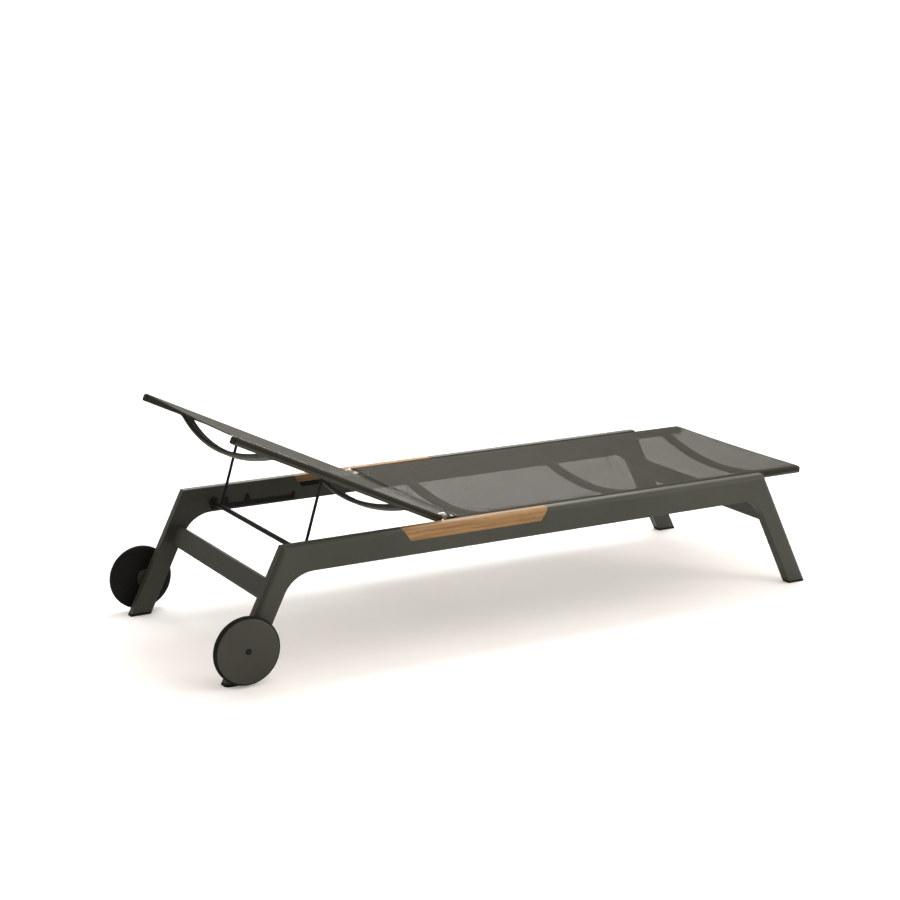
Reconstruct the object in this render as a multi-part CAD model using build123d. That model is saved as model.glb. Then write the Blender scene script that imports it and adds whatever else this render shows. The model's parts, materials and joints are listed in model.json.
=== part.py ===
from build123d import *
import os
from math import cos, radians, sin, sqrt

# A reclining sun lounger: two welded side frames, a tensioned mesh sling on side tubes, a backrest
# that turns on two hinges and rests on a prop stay, and a pair of wheels at the head end.
#
# Working frame, in millimetres: +X is the lounger's right, +Y runs from head to foot, +Z is up.
# Y = 0 is the rails' head end while modelling, and save() moves every piece to the final origin,
# which is the middle of the lounger's footprint on the ground.

# ---- driving dimensions -------------------------------------------------------------------------

# Side frames: one rail and two splayed legs, made from a hollow aluminium profile.
HALF_WIDTH = 360.0
RAIL_THICK = 34.0
RAIL_HIGH = 76.0
RAIL_LONG = 1604.0
RAIL_TOP = 360.0
LEG_DEEP = 57.0
LEG_SPLAY = 26.1
CORNER_R = 98.0
OUTER_EDGE_R = 13.0
SMALL_EDGE_R = 1.5
WALL = 2.5
FIT_GAP = 0.05
GLIDE_HIGH = 8.0
SPIGOT_HIGH = 20.0

# Crossbars between the two legs at each end.
BAR_DEEP = 30.0
BAR_HIGH = 58.0
BAR_ROUND = 7.0
BAR_FROM_FACE = 40.0
HEAD_BAR_DOWN_LEG = 129.7
FOOT_BAR_DOWN_LEG = 115.7

# Wooden inserts let into the rails.
INSERT_START = 358.0
INSERT_END = 829.0
INSERT_SLANT = 25.0
INSERT_DEEP = 36.0
INSERT_GAP = 0.4
REBATE_HIGH = 15.0
REBATE_WIDE = 14.0
CRADLE_SETBACK = 2.0

# Side tubes that carry the mesh, on the seat and on the back.
TUBE_WIDE = 29.0
TUBE_HIGH = 20.6
TUBE_ROUND = 6.0
TUBE_WALL = 1.8
TUBE_OUTER = 321.0
PLUG_CAP = 2.5
PLUG_SPIGOT = 18.0
PLUG_CHAMFER = 0.8
MESH_THICK = 1.4
MESH_EDGE_GAP = 2.0
MESH_TOP = 359.0
SEAT_START = 550.0
SEAT_END = 1771.0

# Curved spreader ribs under the mesh.
RIB_WIDE = 34.0
RIB_THICK = 14.0
RIB_WALL = 2.0
RIB_OUTER_R = 920.0
RIB_DROP = 69.0
RIB_SIDE_FLAT = 0.1
SEAT_RIBS = {"head": 697.0, "middle": 1200.0, "foot": 1702.0}
BACK_RIBS = {"lower": 135.0, "upper": 577.0}

# Backrest, measured from its hinge line along the back.
PIVOT_Y = 526.5
PIVOT_Z = MESH_TOP
BACK_ANGLE = 25.6
BACK_NEAR = 22.0
BACK_FAR = 708.0
HINGE_PIN_R = 4.0
HINGE_EAR_R = 10.0
HINGE_THICK = 4.0

# Prop stay: two struts on the backrest and a bar that drops into the racks.
STAY_PIVOT_ALONG = 402.0
STAY_X = 276.0
STRUT_R = 4.3
STAY_EYE_R = 9.0
STAY_PIN_R = 3.0
STAY_BAR_R = 7.0
STAY_BAR_Y = 96.7
STAY_BAR_Z = 310.6
STAY_BAR_WALL = 1.6

# Racks on the rails' inner faces.
RACK_THICK = 4.0
RACK_FLOOR = 302.2
RACK_FOOT = 291.0
RACK_START = 74.0
RACK_END = 358.0
TOOTH_TOP = 325.0

# Wheels outside the head legs.
WHEEL_Y = -122.0
WHEEL_Z = 100.5
WHEEL_R = 95.0
DISC_R = 89.0
RIM_R = 84.0
WHEEL_INNER = 368.0
WHEEL_OUTER = 391.5
AXLE_R = 6.0
BUSH_R = 9.0
HUB_R = 16.0
BRACKET_THICK = 4.0

# Cutting blocks reach this far past what they cut.
PAST = 500.0

# ---- worked out from the driving dimensions -----------------------------------------------------

SIN_SPLAY = sin(radians(LEG_SPLAY))
COS_SPLAY = cos(radians(LEG_SPLAY))
RAIL_INNER = HALF_WIDTH - RAIL_THICK
RAIL_LOW = RAIL_TOP - RAIL_HIGH
INSERT_FLOOR = RAIL_TOP - INSERT_DEEP
TUBE_TOP = MESH_TOP - MESH_THICK
TUBE_MID = TUBE_TOP - TUBE_HIGH / 2
TUBE_INNER = TUBE_OUTER - TUBE_WIDE
TUBE_X = TUBE_OUTER - TUBE_WIDE / 2
FOOT_REACH = RAIL_LONG + RAIL_TOP * SIN_SPLAY / COS_SPLAY
HEAD_REACH = WHEEL_Y - WHEEL_R
ORIGIN_Y = (HEAD_REACH + FOOT_REACH) / 2
BACK = Pos(0, PIVOT_Y, PIVOT_Z) * Rot(-BACK_ANGLE, 0, 0)
BACK_TUBE_MID = TUBE_MID - PIVOT_Z
RACK_X = RAIL_INNER - RACK_THICK


# ---- helpers ------------------------------------------------------------------------------------

def save(name, shape):
    """Writes one node, moved so that the origin is the middle of the footprint."""
    export_step(Pos(0, -ORIGIN_Y, 0) * shape, f"parts/{name}.step")


def save_pair(name, right):
    """Writes a right-hand piece and its mirror image."""
    save(f"{name}_right", right)
    save(f"{name}_left", mirror(right, about=Plane.YZ))


def both_sides(right):
    """Joins a group of right-hand pieces to their mirror images."""
    return Compound(children=solids_of(right) + solids_of(mirror(right, about=Plane.YZ)))


def solids_of(shape):
    return list(shape.solids())


def group(pieces):
    """One node that holds several separate solids."""
    return Compound(children=[solid for piece in pieces for solid in solids_of(piece)])


def plate(outline, x_low, x_high):
    """An upright plate whose outline is drawn in Y and Z."""
    return extrude(Plane.YZ.offset(x_low) * outline, amount=x_high - x_low)


def prism(points, x_low, x_high):
    return plate(make_face(Polyline(*points, close=True)), x_low, x_high)


def rod_x(y, z, radius, x_low, x_high):
    """A round bar along X."""
    return plate(Pos(y, z) * Circle(radius), x_low, x_high)


def rod_between(start, end, radius):
    line = Vector(*end) - Vector(*start)
    return extrude(Plane(origin=start, z_dir=line) * Circle(radius), amount=line.length)


def box_between(low, high):
    """A box from its lowest corner to its highest."""
    size = [b - a for a, b in zip(low, high)]
    middle = [(a + b) / 2 for a, b in zip(low, high)]
    return Pos(*middle) * Box(*size)


def turned(points, about_y, about_z):
    """A solid of revolution about a line along X, from an outline of (x, radius) points."""
    profile = make_face(Polyline(*points, close=True))
    return Pos(0, about_y, about_z) * revolve(profile, axis=Axis.X)


# ---- side frames --------------------------------------------------------------------------------

def leg_y(depth, z):
    """Y of a point on the head leg, at this depth in from its outward face."""
    return (depth - (RAIL_TOP - z) * SIN_SPLAY) / COS_SPLAY


def frame_outline(inset):
    """Side view of a side frame, from the ground up, drawn in by the inset."""
    top = RAIL_TOP - inset
    low = RAIL_LOW + inset
    out = inset
    inner = LEG_DEEP - inset
    head = [(leg_y(inner, 0), 0), (leg_y(out, 0), 0), (leg_y(out, top), top)]
    foot = [(RAIL_LONG - y, z) for y, z in reversed(head)]
    corners = [(RAIL_LONG - leg_y(inner, low), low), (leg_y(inner, low), low)]
    face = make_face(Polyline(*head, *foot, *corners, close=True))
    inner_corners = [v for v in face.vertices() if abs(v.Y - low) < 0.01]
    return fillet(inner_corners, CORNER_R + inset)


def is_outward(edge, inset):
    """True for an edge along the rail's top or a leg's outward face."""
    middle = edge.position_at(0.5)
    from_end = min(middle.Y, RAIL_LONG - middle.Y)
    on_top = abs(middle.Z - (RAIL_TOP - inset)) < 0.01
    on_leg = abs(from_end - leg_y(inset, middle.Z)) < 0.01
    return on_top or on_leg


def frame_solid(inset):
    """The right side frame's solid shape, with its outer top and outward edges rounded."""
    x_low = RAIL_INNER + inset
    x_high = HALF_WIDTH - inset
    body = plate(frame_outline(inset), x_low, x_high)
    outer = [e for e in body.edges() if on_plane_x(e, x_high) and is_outward(e, inset)]
    return fillet(outer, OUTER_EDGE_R - inset)


def eased(body):
    """Breaks the side frame's remaining long edges with a small radius."""
    faces = (RAIL_INNER, HALF_WIDTH)
    sharp = [e for e in body.edges() if on_a_face(e, faces) and not on_ground(e)]
    return fillet(sharp, SMALL_EDGE_R)


def on_a_face(edge, faces):
    return any(on_plane_x(edge, x) for x in faces) and not is_rounded_side(edge)


def is_rounded_side(edge):
    """True for the line where the large outer radius meets the outer face."""
    middle = edge.position_at(0.5)
    from_end = min(middle.Y, RAIL_LONG - middle.Y)
    on_top = middle.Z > RAIL_TOP - OUTER_EDGE_R - 0.01
    on_leg = from_end < leg_y(OUTER_EDGE_R, middle.Z) + 0.01
    return abs(middle.X - HALF_WIDTH) < 0.01 and (on_top or on_leg)


def on_ground(edge):
    return edge.position_at(0.5).Z < 0.01


def on_plane_x(edge, x):
    return all(abs(v.X - x) < 0.01 for v in edge.vertices())


def insert_outline(grow):
    """Side view of the pocket in the rail, a trapezium that narrows going down."""
    slope = INSERT_SLANT / INSERT_DEEP
    low = INSERT_FLOOR - grow
    high = RAIL_TOP + 20.0
    wide = slope * (high - INSERT_FLOOR)
    side = grow * sqrt(1 + slope * slope)
    start = INSERT_START + INSERT_SLANT - side
    end = INSERT_END - INSERT_SLANT + side
    drop = slope * (INSERT_FLOOR - low)
    return [(start + drop, low), (end - drop, low), (end + wide, high), (start - wide, high)]


def leg_region():
    """Everything on the head leg's side of the mitre between leg and rail."""
    run = Vector(leg_y(LEG_DEEP, RAIL_LOW), RAIL_LOW - RAIL_TOP)
    unit = run.normalized()
    top = (-PAST * unit.X, RAIL_TOP - PAST * unit.Y)
    foot = (PAST * unit.X, RAIL_TOP + PAST * unit.Y)
    return prism([top, foot, (-2 * PAST, foot[1]), (-2 * PAST, top[1])], 0, HALF_WIDTH + PAST)


def crossbar(down_leg):
    """The flat bar between the legs, as it stands between the head legs."""
    outside = RectangleRounded(BAR_DEEP, BAR_HIGH, BAR_ROUND)
    inside = RectangleRounded(BAR_DEEP - 2 * WALL, BAR_HIGH - 2 * WALL, BAR_ROUND - WALL)
    bar = plate(outside - inside, -RAIL_INNER, RAIL_INNER)
    y = BAR_FROM_FACE * COS_SPLAY - down_leg * SIN_SPLAY
    z = RAIL_TOP - down_leg * COS_SPLAY - BAR_FROM_FACE * SIN_SPLAY
    return Pos(0, y, z) * Rot(-LEG_SPLAY, 0, 0) * bar


def to_foot_end(shape):
    """Mirrors a head-end piece to the foot end."""
    return mirror(shape, about=Plane.XZ.offset(-RAIL_LONG / 2))


def layer(z_low, z_high):
    """A level block over the whole length of a side frame."""
    return box_between((0, -PAST, z_low), (HALF_WIDTH + PAST, RAIL_LONG + PAST, z_high))


def make_side_frames():
    solid = eased(frame_solid(0))
    pocket = prism(insert_outline(0), 0, HALF_WIDTH + PAST)
    hollow = frame_solid(WALL) - prism(insert_outline(WALL), 0, HALF_WIDTH + PAST)
    ground = layer(-PAST, GLIDE_HIGH)
    spigots = layer(GLIDE_HIGH, GLIDE_HIGH + SPIGOT_HIGH)
    shell = (solid - pocket - hollow - ground) - frame_holes()
    head = leg_region()
    foot = to_foot_end(head)
    save_pair("head_leg", shell & head)
    save_pair("foot_leg", shell & foot)
    save_pair("side_rail", shell - head - foot)
    glides = (solid & ground) + (frame_solid(WALL + FIT_GAP) & spigots)
    save_pair("glide_head", glides & head)
    save_pair("glide_foot", glides & foot)
    save("head_crossbar", crossbar(HEAD_BAR_DOWN_LEG))
    save("foot_crossbar", to_foot_end(crossbar(FOOT_BAR_DOWN_LEG)))
    make_inserts(solid)


def frame_holes():
    """Screw holes in the right side frame."""
    hole_r = SCREW_R + FIT_GAP
    holes = [rod_x(y, z, hole_r, RAIL_INNER - 1, RAIL_INNER + SCREW_BITE) for y, z in frame_screws()]
    holes += [rod_x(y, z, hole_r, HALF_WIDTH - SCREW_BITE, HALF_WIDTH + 1) for y, z in WHEEL_BOLTS]
    return holes


# ---- wooden inserts -----------------------------------------------------------------------------

INSERT_SCREWS = (430.0, 593.0, 756.0)
INSERT_SCREW_R = 1.9
INSERT_SCREW_BITE = 12.0
INSERT_SCREW_HEAD_R = 4.0
INSERT_SCREW_HEAD_HIGH = 1.6


def make_inserts(solid):
    """The wooden blocks, the strips they lie on and the screws between the two."""
    block = solid & prism(insert_outline(-INSERT_GAP), 0, HALF_WIDTH + PAST)
    rebate_top = INSERT_FLOOR + REBATE_HIGH
    inner_face = RAIL_INNER + CRADLE_SETBACK
    rebate_back = RAIL_INNER + REBATE_WIDE
    rebate = box_between((0, 0, 0), (rebate_back, RAIL_LONG, rebate_top))
    strip = box_between((inner_face, 0, 0), (rebate_back, RAIL_LONG, rebate_top))
    z = INSERT_FLOOR + REBATE_HIGH / 2
    tip = rebate_back + INSERT_SCREW_BITE
    head_top = inner_face - INSERT_SCREW_HEAD_HIGH
    hole_r = INSERT_SCREW_R + FIT_GAP
    shanks = [rod_x(y, z, INSERT_SCREW_R, inner_face, tip) for y in INSERT_SCREWS]
    heads = [rod_x(y, z, INSERT_SCREW_HEAD_R, head_top, inner_face) for y in INSERT_SCREWS]
    holes = [rod_x(y, z, hole_r, RAIL_INNER, tip) for y in INSERT_SCREWS]
    save_pair("wood_insert", block - rebate - holes)
    save_pair("insert_cradle", (block & strip) - holes)
    save("insert_screws", both_sides(group([a + b for a, b in zip(shanks, heads)])))


# ---- mesh tubes and ribs ------------------------------------------------------------------------

def tube_y(x, z, y_low, y_high):
    """A hollow rounded tube along Y."""
    outside = RectangleRounded(TUBE_WIDE, TUBE_HIGH, TUBE_ROUND)
    bore = RectangleRounded(TUBE_WIDE - 2 * TUBE_WALL, TUBE_HIGH - 2 * TUBE_WALL, TUBE_ROUND - TUBE_WALL)
    half = extrude(Plane.XZ * (outside - bore), amount=(y_high - y_low) / 2, both=True)
    return Pos(x, (y_low + y_high) / 2, z) * half


def plug_y(x, z, y, inward):
    """A moulded plug that closes a tube's end at y; inward is +1 or -1 along Y."""
    cap = extrude(Plane.XZ * RectangleRounded(TUBE_WIDE, TUBE_HIGH, TUBE_ROUND), amount=-PLUG_CAP)
    cap = chamfer(cap.faces().sort_by(Axis.Y)[0].edges(), PLUG_CHAMFER)
    in_by = 2 * (TUBE_WALL + FIT_GAP)
    stub = RectangleRounded(TUBE_WIDE - in_by, TUBE_HIGH - in_by, TUBE_ROUND - in_by / 2)
    spigot = Pos(0, PLUG_CAP, 0) * extrude(Plane.XZ * stub, amount=-PLUG_SPIGOT)
    plug = cap + spigot
    if inward < 0:
        plug = mirror(plug, about=Plane.XZ)
    return Pos(x, y, z) * plug


def rib(y, mesh_top):
    """A curved oval tube that holds the two side tubes apart, bowed down below the mesh."""
    centre_z = mesh_top - RIB_DROP + RIB_OUTER_R
    line = Axis((0, y, centre_z), (0, 1, 0))
    place = Plane.YZ * Pos(y, centre_z - RIB_OUTER_R + RIB_THICK / 2)
    outside = RectangleRounded(RIB_WIDE, RIB_THICK, RIB_THICK / 2 - RIB_SIDE_FLAT)
    inner_high = RIB_THICK - 2 * RIB_WALL
    bore = RectangleRounded(RIB_WIDE - 2 * RIB_WALL, inner_high, inner_high / 2 - RIB_SIDE_FLAT)
    ring = revolve(place * outside, axis=line) - revolve(place * bore, axis=line)
    low = (-TUBE_INNER, y - RIB_WIDE, mesh_top - 2 * RIB_DROP)
    span = box_between(low, (TUBE_INNER, y + RIB_WIDE, mesh_top))
    return ring & span


def make_seat():
    tube = tube_y(TUBE_X, TUBE_MID, SEAT_START + PLUG_CAP, SEAT_END - PLUG_CAP)
    save_pair("seat_tube", tube)
    plugs = [plug_y(TUBE_X, TUBE_MID, SEAT_START, 1), plug_y(TUBE_X, TUBE_MID, SEAT_END, -1)]
    save("seat_tube_plugs", both_sides(group(plugs)))
    for name, y in SEAT_RIBS.items():
        save(f"seat_rib_{name}", rib(y, MESH_TOP))
    half = TUBE_OUTER - MESH_EDGE_GAP
    low = (-half, SEAT_START + MESH_EDGE_GAP, TUBE_TOP)
    save("seat_sling", box_between(low, (half, SEAT_END - MESH_EDGE_GAP, MESH_TOP)))
    make_seat_brackets()


# ---- brackets between rails and seat tubes ------------------------------------------------------

SEAT_BRACKETS = (600.0, 1010.0, 1500.0)
BRACKET_LONG = 44.0
BRACKET_PLATE = 3.0
BRACKET_LOW = 290.0
BRACKET_SCREW_SPREAD = 14.0
BRACKET_SCREW_UP = 14.0
BRACKET_TUBE_LIP = 4.0
SCREW_R = 2.5
SCREW_BITE = 6.0
SCREW_HEAD_R = 4.5
SCREW_HEAD_HIGH = 2.6
RACK_SCREWS = (88.0, 172.0, 240.0, 340.0)
WHEEL_BOLTS = ((-92.0, 113.0), (-98.0, 87.0))


def bracket_screws():
    """Places of the screws that hold the seat brackets, as (y, z)."""
    spread = (-BRACKET_SCREW_SPREAD, BRACKET_SCREW_SPREAD)
    return [(y + dy, BRACKET_LOW + BRACKET_SCREW_UP) for y in SEAT_BRACKETS for dy in spread]


def rack_screws():
    return [(y, (RACK_FOOT + RACK_FLOOR) / 2) for y in RACK_SCREWS]


def frame_screws():
    return bracket_screws() + rack_screws()


def make_seat_brackets():
    """Angle brackets screwed to the rails, with the seat tubes lying on their flanges."""
    tube_low = TUBE_TOP - TUBE_HIGH
    upright_x = RAIL_INNER - BRACKET_PLATE
    brackets = []
    for y in SEAT_BRACKETS:
        y_low = y - BRACKET_LONG / 2
        y_high = y + BRACKET_LONG / 2
        upright = box_between((upright_x, y_low, BRACKET_LOW), (RAIL_INNER, y_high, tube_low))
        flange_low = (TUBE_INNER + BRACKET_TUBE_LIP, y_low, tube_low - BRACKET_PLATE)
        flange = box_between(flange_low, (RAIL_INNER, y_high, tube_low))
        brackets.append(upright + flange)
    shanks = [rod_x(y, z, SCREW_R, upright_x, RAIL_INNER + SCREW_BITE) for y, z in bracket_screws()]
    heads = [rod_x(y, z, SCREW_HEAD_R, upright_x - SCREW_HEAD_HIGH, upright_x) for y, z in bracket_screws()]
    holes = [rod_x(y, z, SCREW_R + FIT_GAP, upright_x - 1, RAIL_INNER + 1) for y, z in bracket_screws()]
    save("seat_brackets", both_sides(group([b - holes for b in brackets])))
    save("bracket_screws", both_sides(group([a + b for a, b in zip(shanks, heads)])))


# ---- racks --------------------------------------------------------------------------------------

HOOK_INNER_R = 8.4
HOOK_OUTER_R = 16.5
HOOK_MOUTH = ((0, 0), (40, -14.6), (40, 32), (0, 0))
RACK_HEEL = 14.0
RACK_STOP_HIGH = 10.0
RACK_STOP_WIDE = 6.0
RACK_STOP_FOOT = 8.0
SINK_SHALLOWER = 0.6
TOOTH_RUNS = ((113.0, 133.0, 139.0, 141.0), (194.0, 200.0, 206.0, 213.0))


def rack_outline():
    """Side view of a rack: a hook at the head end, two teeth and a long resting ledge."""
    stop_top = RACK_FLOOR + RACK_STOP_HIGH
    base = [(RACK_START + RACK_HEEL, RACK_FOOT), (RACK_END, RACK_FOOT), (RACK_END, stop_top)]
    base += [(RACK_END - RACK_STOP_WIDE, stop_top), (RACK_END - RACK_STOP_FOOT, RACK_FLOOR)]
    for rise, crest, fall, foot in reversed(TOOTH_RUNS):
        base += [(foot, RACK_FLOOR), (fall, TOOTH_TOP), (crest, TOOTH_TOP), (rise, RACK_FLOOR)]
    base += [(STAY_BAR_Y, RACK_FLOOR), (RACK_START + RACK_HEEL, RACK_FLOOR)]
    ring = Circle(HOOK_OUTER_R) - Circle(HOOK_INNER_R)
    mouth = Polyline(*HOOK_MOUTH)
    hook = Pos(STAY_BAR_Y, STAY_BAR_Z) * (ring - make_face(mouth))
    return make_face(Polyline(*base, close=True)) + hook


def make_racks():
    recess = SCREW_HEAD_HIGH - SINK_SHALLOWER
    heads = [rod_x(y, z, SCREW_HEAD_R, RACK_X, RACK_X + recess) for y, z in rack_screws()]
    shanks = [rod_x(y, z, SCREW_R, RACK_X + recess, RAIL_INNER + SCREW_BITE) for y, z in rack_screws()]
    head_r = SCREW_HEAD_R + FIT_GAP
    sinks = [rod_x(y, z, head_r, RACK_X, RACK_X + recess) for y, z in rack_screws()]
    holes = [rod_x(y, z, SCREW_R + FIT_GAP, RACK_X, RAIL_INNER) for y, z in rack_screws()]
    save_pair("rack", plate(rack_outline(), RACK_X, RAIL_INNER) - sinks - holes)
    save("rack_screws", both_sides(group([a + b for a, b in zip(heads, shanks)])))


# ---- hinges -------------------------------------------------------------------------------------

SEAT_LUG_END = 592.0
BACK_LUG_END = 68.0
LUG_HIGH = 16.0
HINGE_SHIM = 0.5
HINGE_BOLT_R = 5.0
HINGE_BOLT_HEAD = 3.0
HINGE_BOLTS_FROM_END = (30.0, 10.0)
LUG_FROM_TUBE_END = 4.0
PIN_HEAD_R = 6.8
PIN_HEAD_HIGH = 3.0
PIN_HEAD_GAP = 0.4
PIN_CHAMFER = 1.2


def hinge_lug(ear_y, ear_z, start, end, mid_z, x_low, x_high):
    """A plate with a round ear at the hinge line and a tail along the tube."""
    tail_low = mid_z - LUG_HIGH / 2
    tail_high = mid_z + LUG_HIGH / 2
    reach = HINGE_EAR_R if end > start else -HINGE_EAR_R
    web = [(ear_y, ear_z - HINGE_EAR_R), (start, tail_low), (end, tail_low), (end, tail_high)]
    web += [(start, tail_high), (ear_y + reach * 0.6, ear_z + HINGE_EAR_R * 0.8), (ear_y, ear_z)]
    outline = make_face(Polyline(*web, close=True)) + Pos(ear_y, ear_z) * Circle(HINGE_EAR_R)
    return plate(outline, x_low, x_high)


def make_hinges():
    outer_low = TUBE_INNER - HINGE_THICK
    inner_high = outer_low - HINGE_SHIM
    inner_low = inner_high - HINGE_THICK
    seat_lug = hinge_lug(PIVOT_Y, PIVOT_Z, SEAT_START + LUG_FROM_TUBE_END, SEAT_LUG_END, TUBE_MID,
                         outer_low, TUBE_INNER)
    seat_lug = seat_lug - rod_x(PIVOT_Y, PIVOT_Z, HINGE_PIN_R + FIT_GAP, outer_low, TUBE_INNER)
    save_pair("seat_hinge_lug", seat_lug)

    tail_end = -BACK_NEAR - LUG_FROM_TUBE_END
    tail = box_between((inner_low, -BACK_LUG_END, BACK_TUBE_MID - LUG_HIGH / 2),
                       (TUBE_INNER, tail_end, BACK_TUBE_MID + LUG_HIGH / 2))
    ear = hinge_lug(0, 0, tail_end, -BACK_LUG_END, BACK_TUBE_MID, inner_low, inner_high)
    back_lug = ear + tail - rod_x(0, 0, HINGE_PIN_R + FIT_GAP, inner_low, TUBE_INNER)
    save_pair("back_hinge_lug", BACK * back_lug)

    pin_low = inner_low - PIN_HEAD_GAP
    pin = rod_x(PIVOT_Y, PIVOT_Z, HINGE_PIN_R, pin_low, TUBE_INNER)
    inner_head = rod_x(PIVOT_Y, PIVOT_Z, PIN_HEAD_R, pin_low - PIN_HEAD_HIGH, pin_low)
    outer_head = rod_x(PIVOT_Y, PIVOT_Z, PIN_HEAD_R, TUBE_INNER, TUBE_INNER + PIN_HEAD_HIGH)
    inner_head = chamfer(inner_head.edges().sort_by(Axis.X)[0], PIN_CHAMFER)
    outer_head = chamfer(outer_head.edges().sort_by(Axis.X)[-1], PIN_CHAMFER)
    save("hinge_pins", both_sides(pin + inner_head + outer_head))

    seat_bolts = [hinge_bolt(SEAT_LUG_END - d, TUBE_MID, outer_low) for d in HINGE_BOLTS_FROM_END]
    save("seat_hinge_bolts", both_sides(group(seat_bolts)))
    back_bolts = [hinge_bolt(d - BACK_LUG_END, BACK_TUBE_MID, inner_low) for d in HINGE_BOLTS_FROM_END]
    save("back_hinge_bolts", both_sides(BACK * group(back_bolts)))


def hinge_bolt(y, z, face_x):
    """A domed bolt head on a hinge plate's inner face."""
    head = rod_x(y, z, HINGE_BOLT_R, face_x - HINGE_BOLT_HEAD, face_x)
    return fillet(head.edges().sort_by(Axis.X)[0], HINGE_BOLT_HEAD * 0.7)


# ---- backrest -----------------------------------------------------------------------------------

def make_back():
    """The backrest is drawn flat behind its hinge line, then tilted up into place."""
    mid = BACK_TUBE_MID
    save_pair("back_tube", BACK * tube_y(TUBE_X, mid, -BACK_FAR + PLUG_CAP, -BACK_NEAR - PLUG_CAP))
    plugs = [plug_y(TUBE_X, mid, -BACK_FAR, 1), plug_y(TUBE_X, mid, -BACK_NEAR, -1)]
    save("back_tube_plugs", BACK * both_sides(group(plugs)))
    for name, along in BACK_RIBS.items():
        save(f"back_rib_{name}", BACK * rib(-along, 0))
    half = TUBE_OUTER - MESH_EDGE_GAP
    low = (-half, -BACK_FAR + MESH_EDGE_GAP, -MESH_THICK)
    save("back_sling", BACK * box_between(low, (half, -BACK_NEAR - MESH_EDGE_GAP, 0)))


# ---- prop stay ----------------------------------------------------------------------------------

STAY_EYE_THICK = 6.0
STAY_SIDE_GAP = 0.5
STAY_END_GAP = 1.0
STAY_SHOULDER_R = 6.0
STAY_ROD_IN_EYE = 1.0
STAY_PIN_HEAD = 3.0
STAY_CAP = 2.0
STAY_STUB = 14.0


def make_stay():
    """Two struts hang from pins on the back tubes and carry a bar across the racks."""
    pivot = (BACK * Pos(STAY_X, -STAY_PIVOT_ALONG, BACK_TUBE_MID)).position
    bar_end = Vector(STAY_X, STAY_BAR_Y, STAY_BAR_Z)
    down = (bar_end - pivot).normalized()
    start = pivot + down * (STAY_EYE_R - STAY_ROD_IN_EYE)
    eye = rod_x(pivot.Y, pivot.Z, STAY_EYE_R, STAY_X - STAY_EYE_THICK / 2, STAY_X + STAY_EYE_THICK / 2)
    rod = rod_between(tuple(start), tuple(bar_end), STRUT_R)
    strut = eye + rod
    strut = strut - rod_x(pivot.Y, pivot.Z, STAY_PIN_R + FIT_GAP, 0, TUBE_OUTER)
    strut = strut - rod_x(STAY_BAR_Y, STAY_BAR_Z, STAY_BAR_R, 0, TUBE_OUTER)
    save_pair("stay_strut", strut)

    half = RACK_X - STAY_END_GAP
    bore_r = STAY_BAR_R - STAY_BAR_WALL
    stub_r = bore_r - FIT_GAP
    tube = rod_x(STAY_BAR_Y, STAY_BAR_Z, STAY_BAR_R, STAY_CAP - half, half - STAY_CAP)
    save("stay_bar", tube - rod_x(STAY_BAR_Y, STAY_BAR_Z, bore_r, -half, half))
    plug = rod_x(STAY_BAR_Y, STAY_BAR_Z, STAY_BAR_R, half - STAY_CAP, half)
    plug = plug + rod_x(STAY_BAR_Y, STAY_BAR_Z, stub_r, half - STAY_CAP - STAY_STUB, half - STAY_CAP)
    save("stay_bar_plugs", both_sides(plug))

    y = -STAY_PIVOT_ALONG
    mid = BACK_TUBE_MID
    near = STAY_X + STAY_EYE_THICK / 2 + STAY_SIDE_GAP
    far = STAY_X - STAY_EYE_THICK / 2 - STAY_SIDE_GAP
    pin = rod_x(y, mid, STAY_SHOULDER_R, near, TUBE_INNER)
    pin = pin + rod_x(y, mid, STAY_PIN_R, far, near)
    pin = pin + rod_x(y, mid, STAY_SHOULDER_R, far - STAY_PIN_HEAD, far)
    save("stay_pins", both_sides(BACK * pin))


# ---- wheels -------------------------------------------------------------------------------------

TYRE_ROUND = 5.5
PLATE_THICK = 3.0
NUT_FLATS = 13.0
NUT_RECESS_R = 8.5
NUT_BELOW_FACE = 1.0
NUT_INTO_COVER = 1.2
WHEEL_PLATE_Y = -106.0
WHEEL_PLATE_LONG = 62.0
WHEEL_PLATE_HIGH = 50.0
WHEEL_PLATE_ROUND = 18.0
COVER_THICK = 3.5
STUD_COLLAR = 3.5
STUD_THREAD_LESS = 2.0
STUD_BELOW_COVER = 1.5
STUD_BELOW_FACE = 0.5
CORE_BELOW_COVER = 1.8
CORE_RIM_THICK = 4.0
CORE_EDGE = 0.5
CORE_BEVEL = (1.5, 4.0)
DOME_DROP = 1.5
DOME_MIDDLE = (0.3, 50.0)
DOME_BEVEL = (2.6, 2.0)
DOME_LIP = (0.6, 1.0)


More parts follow.
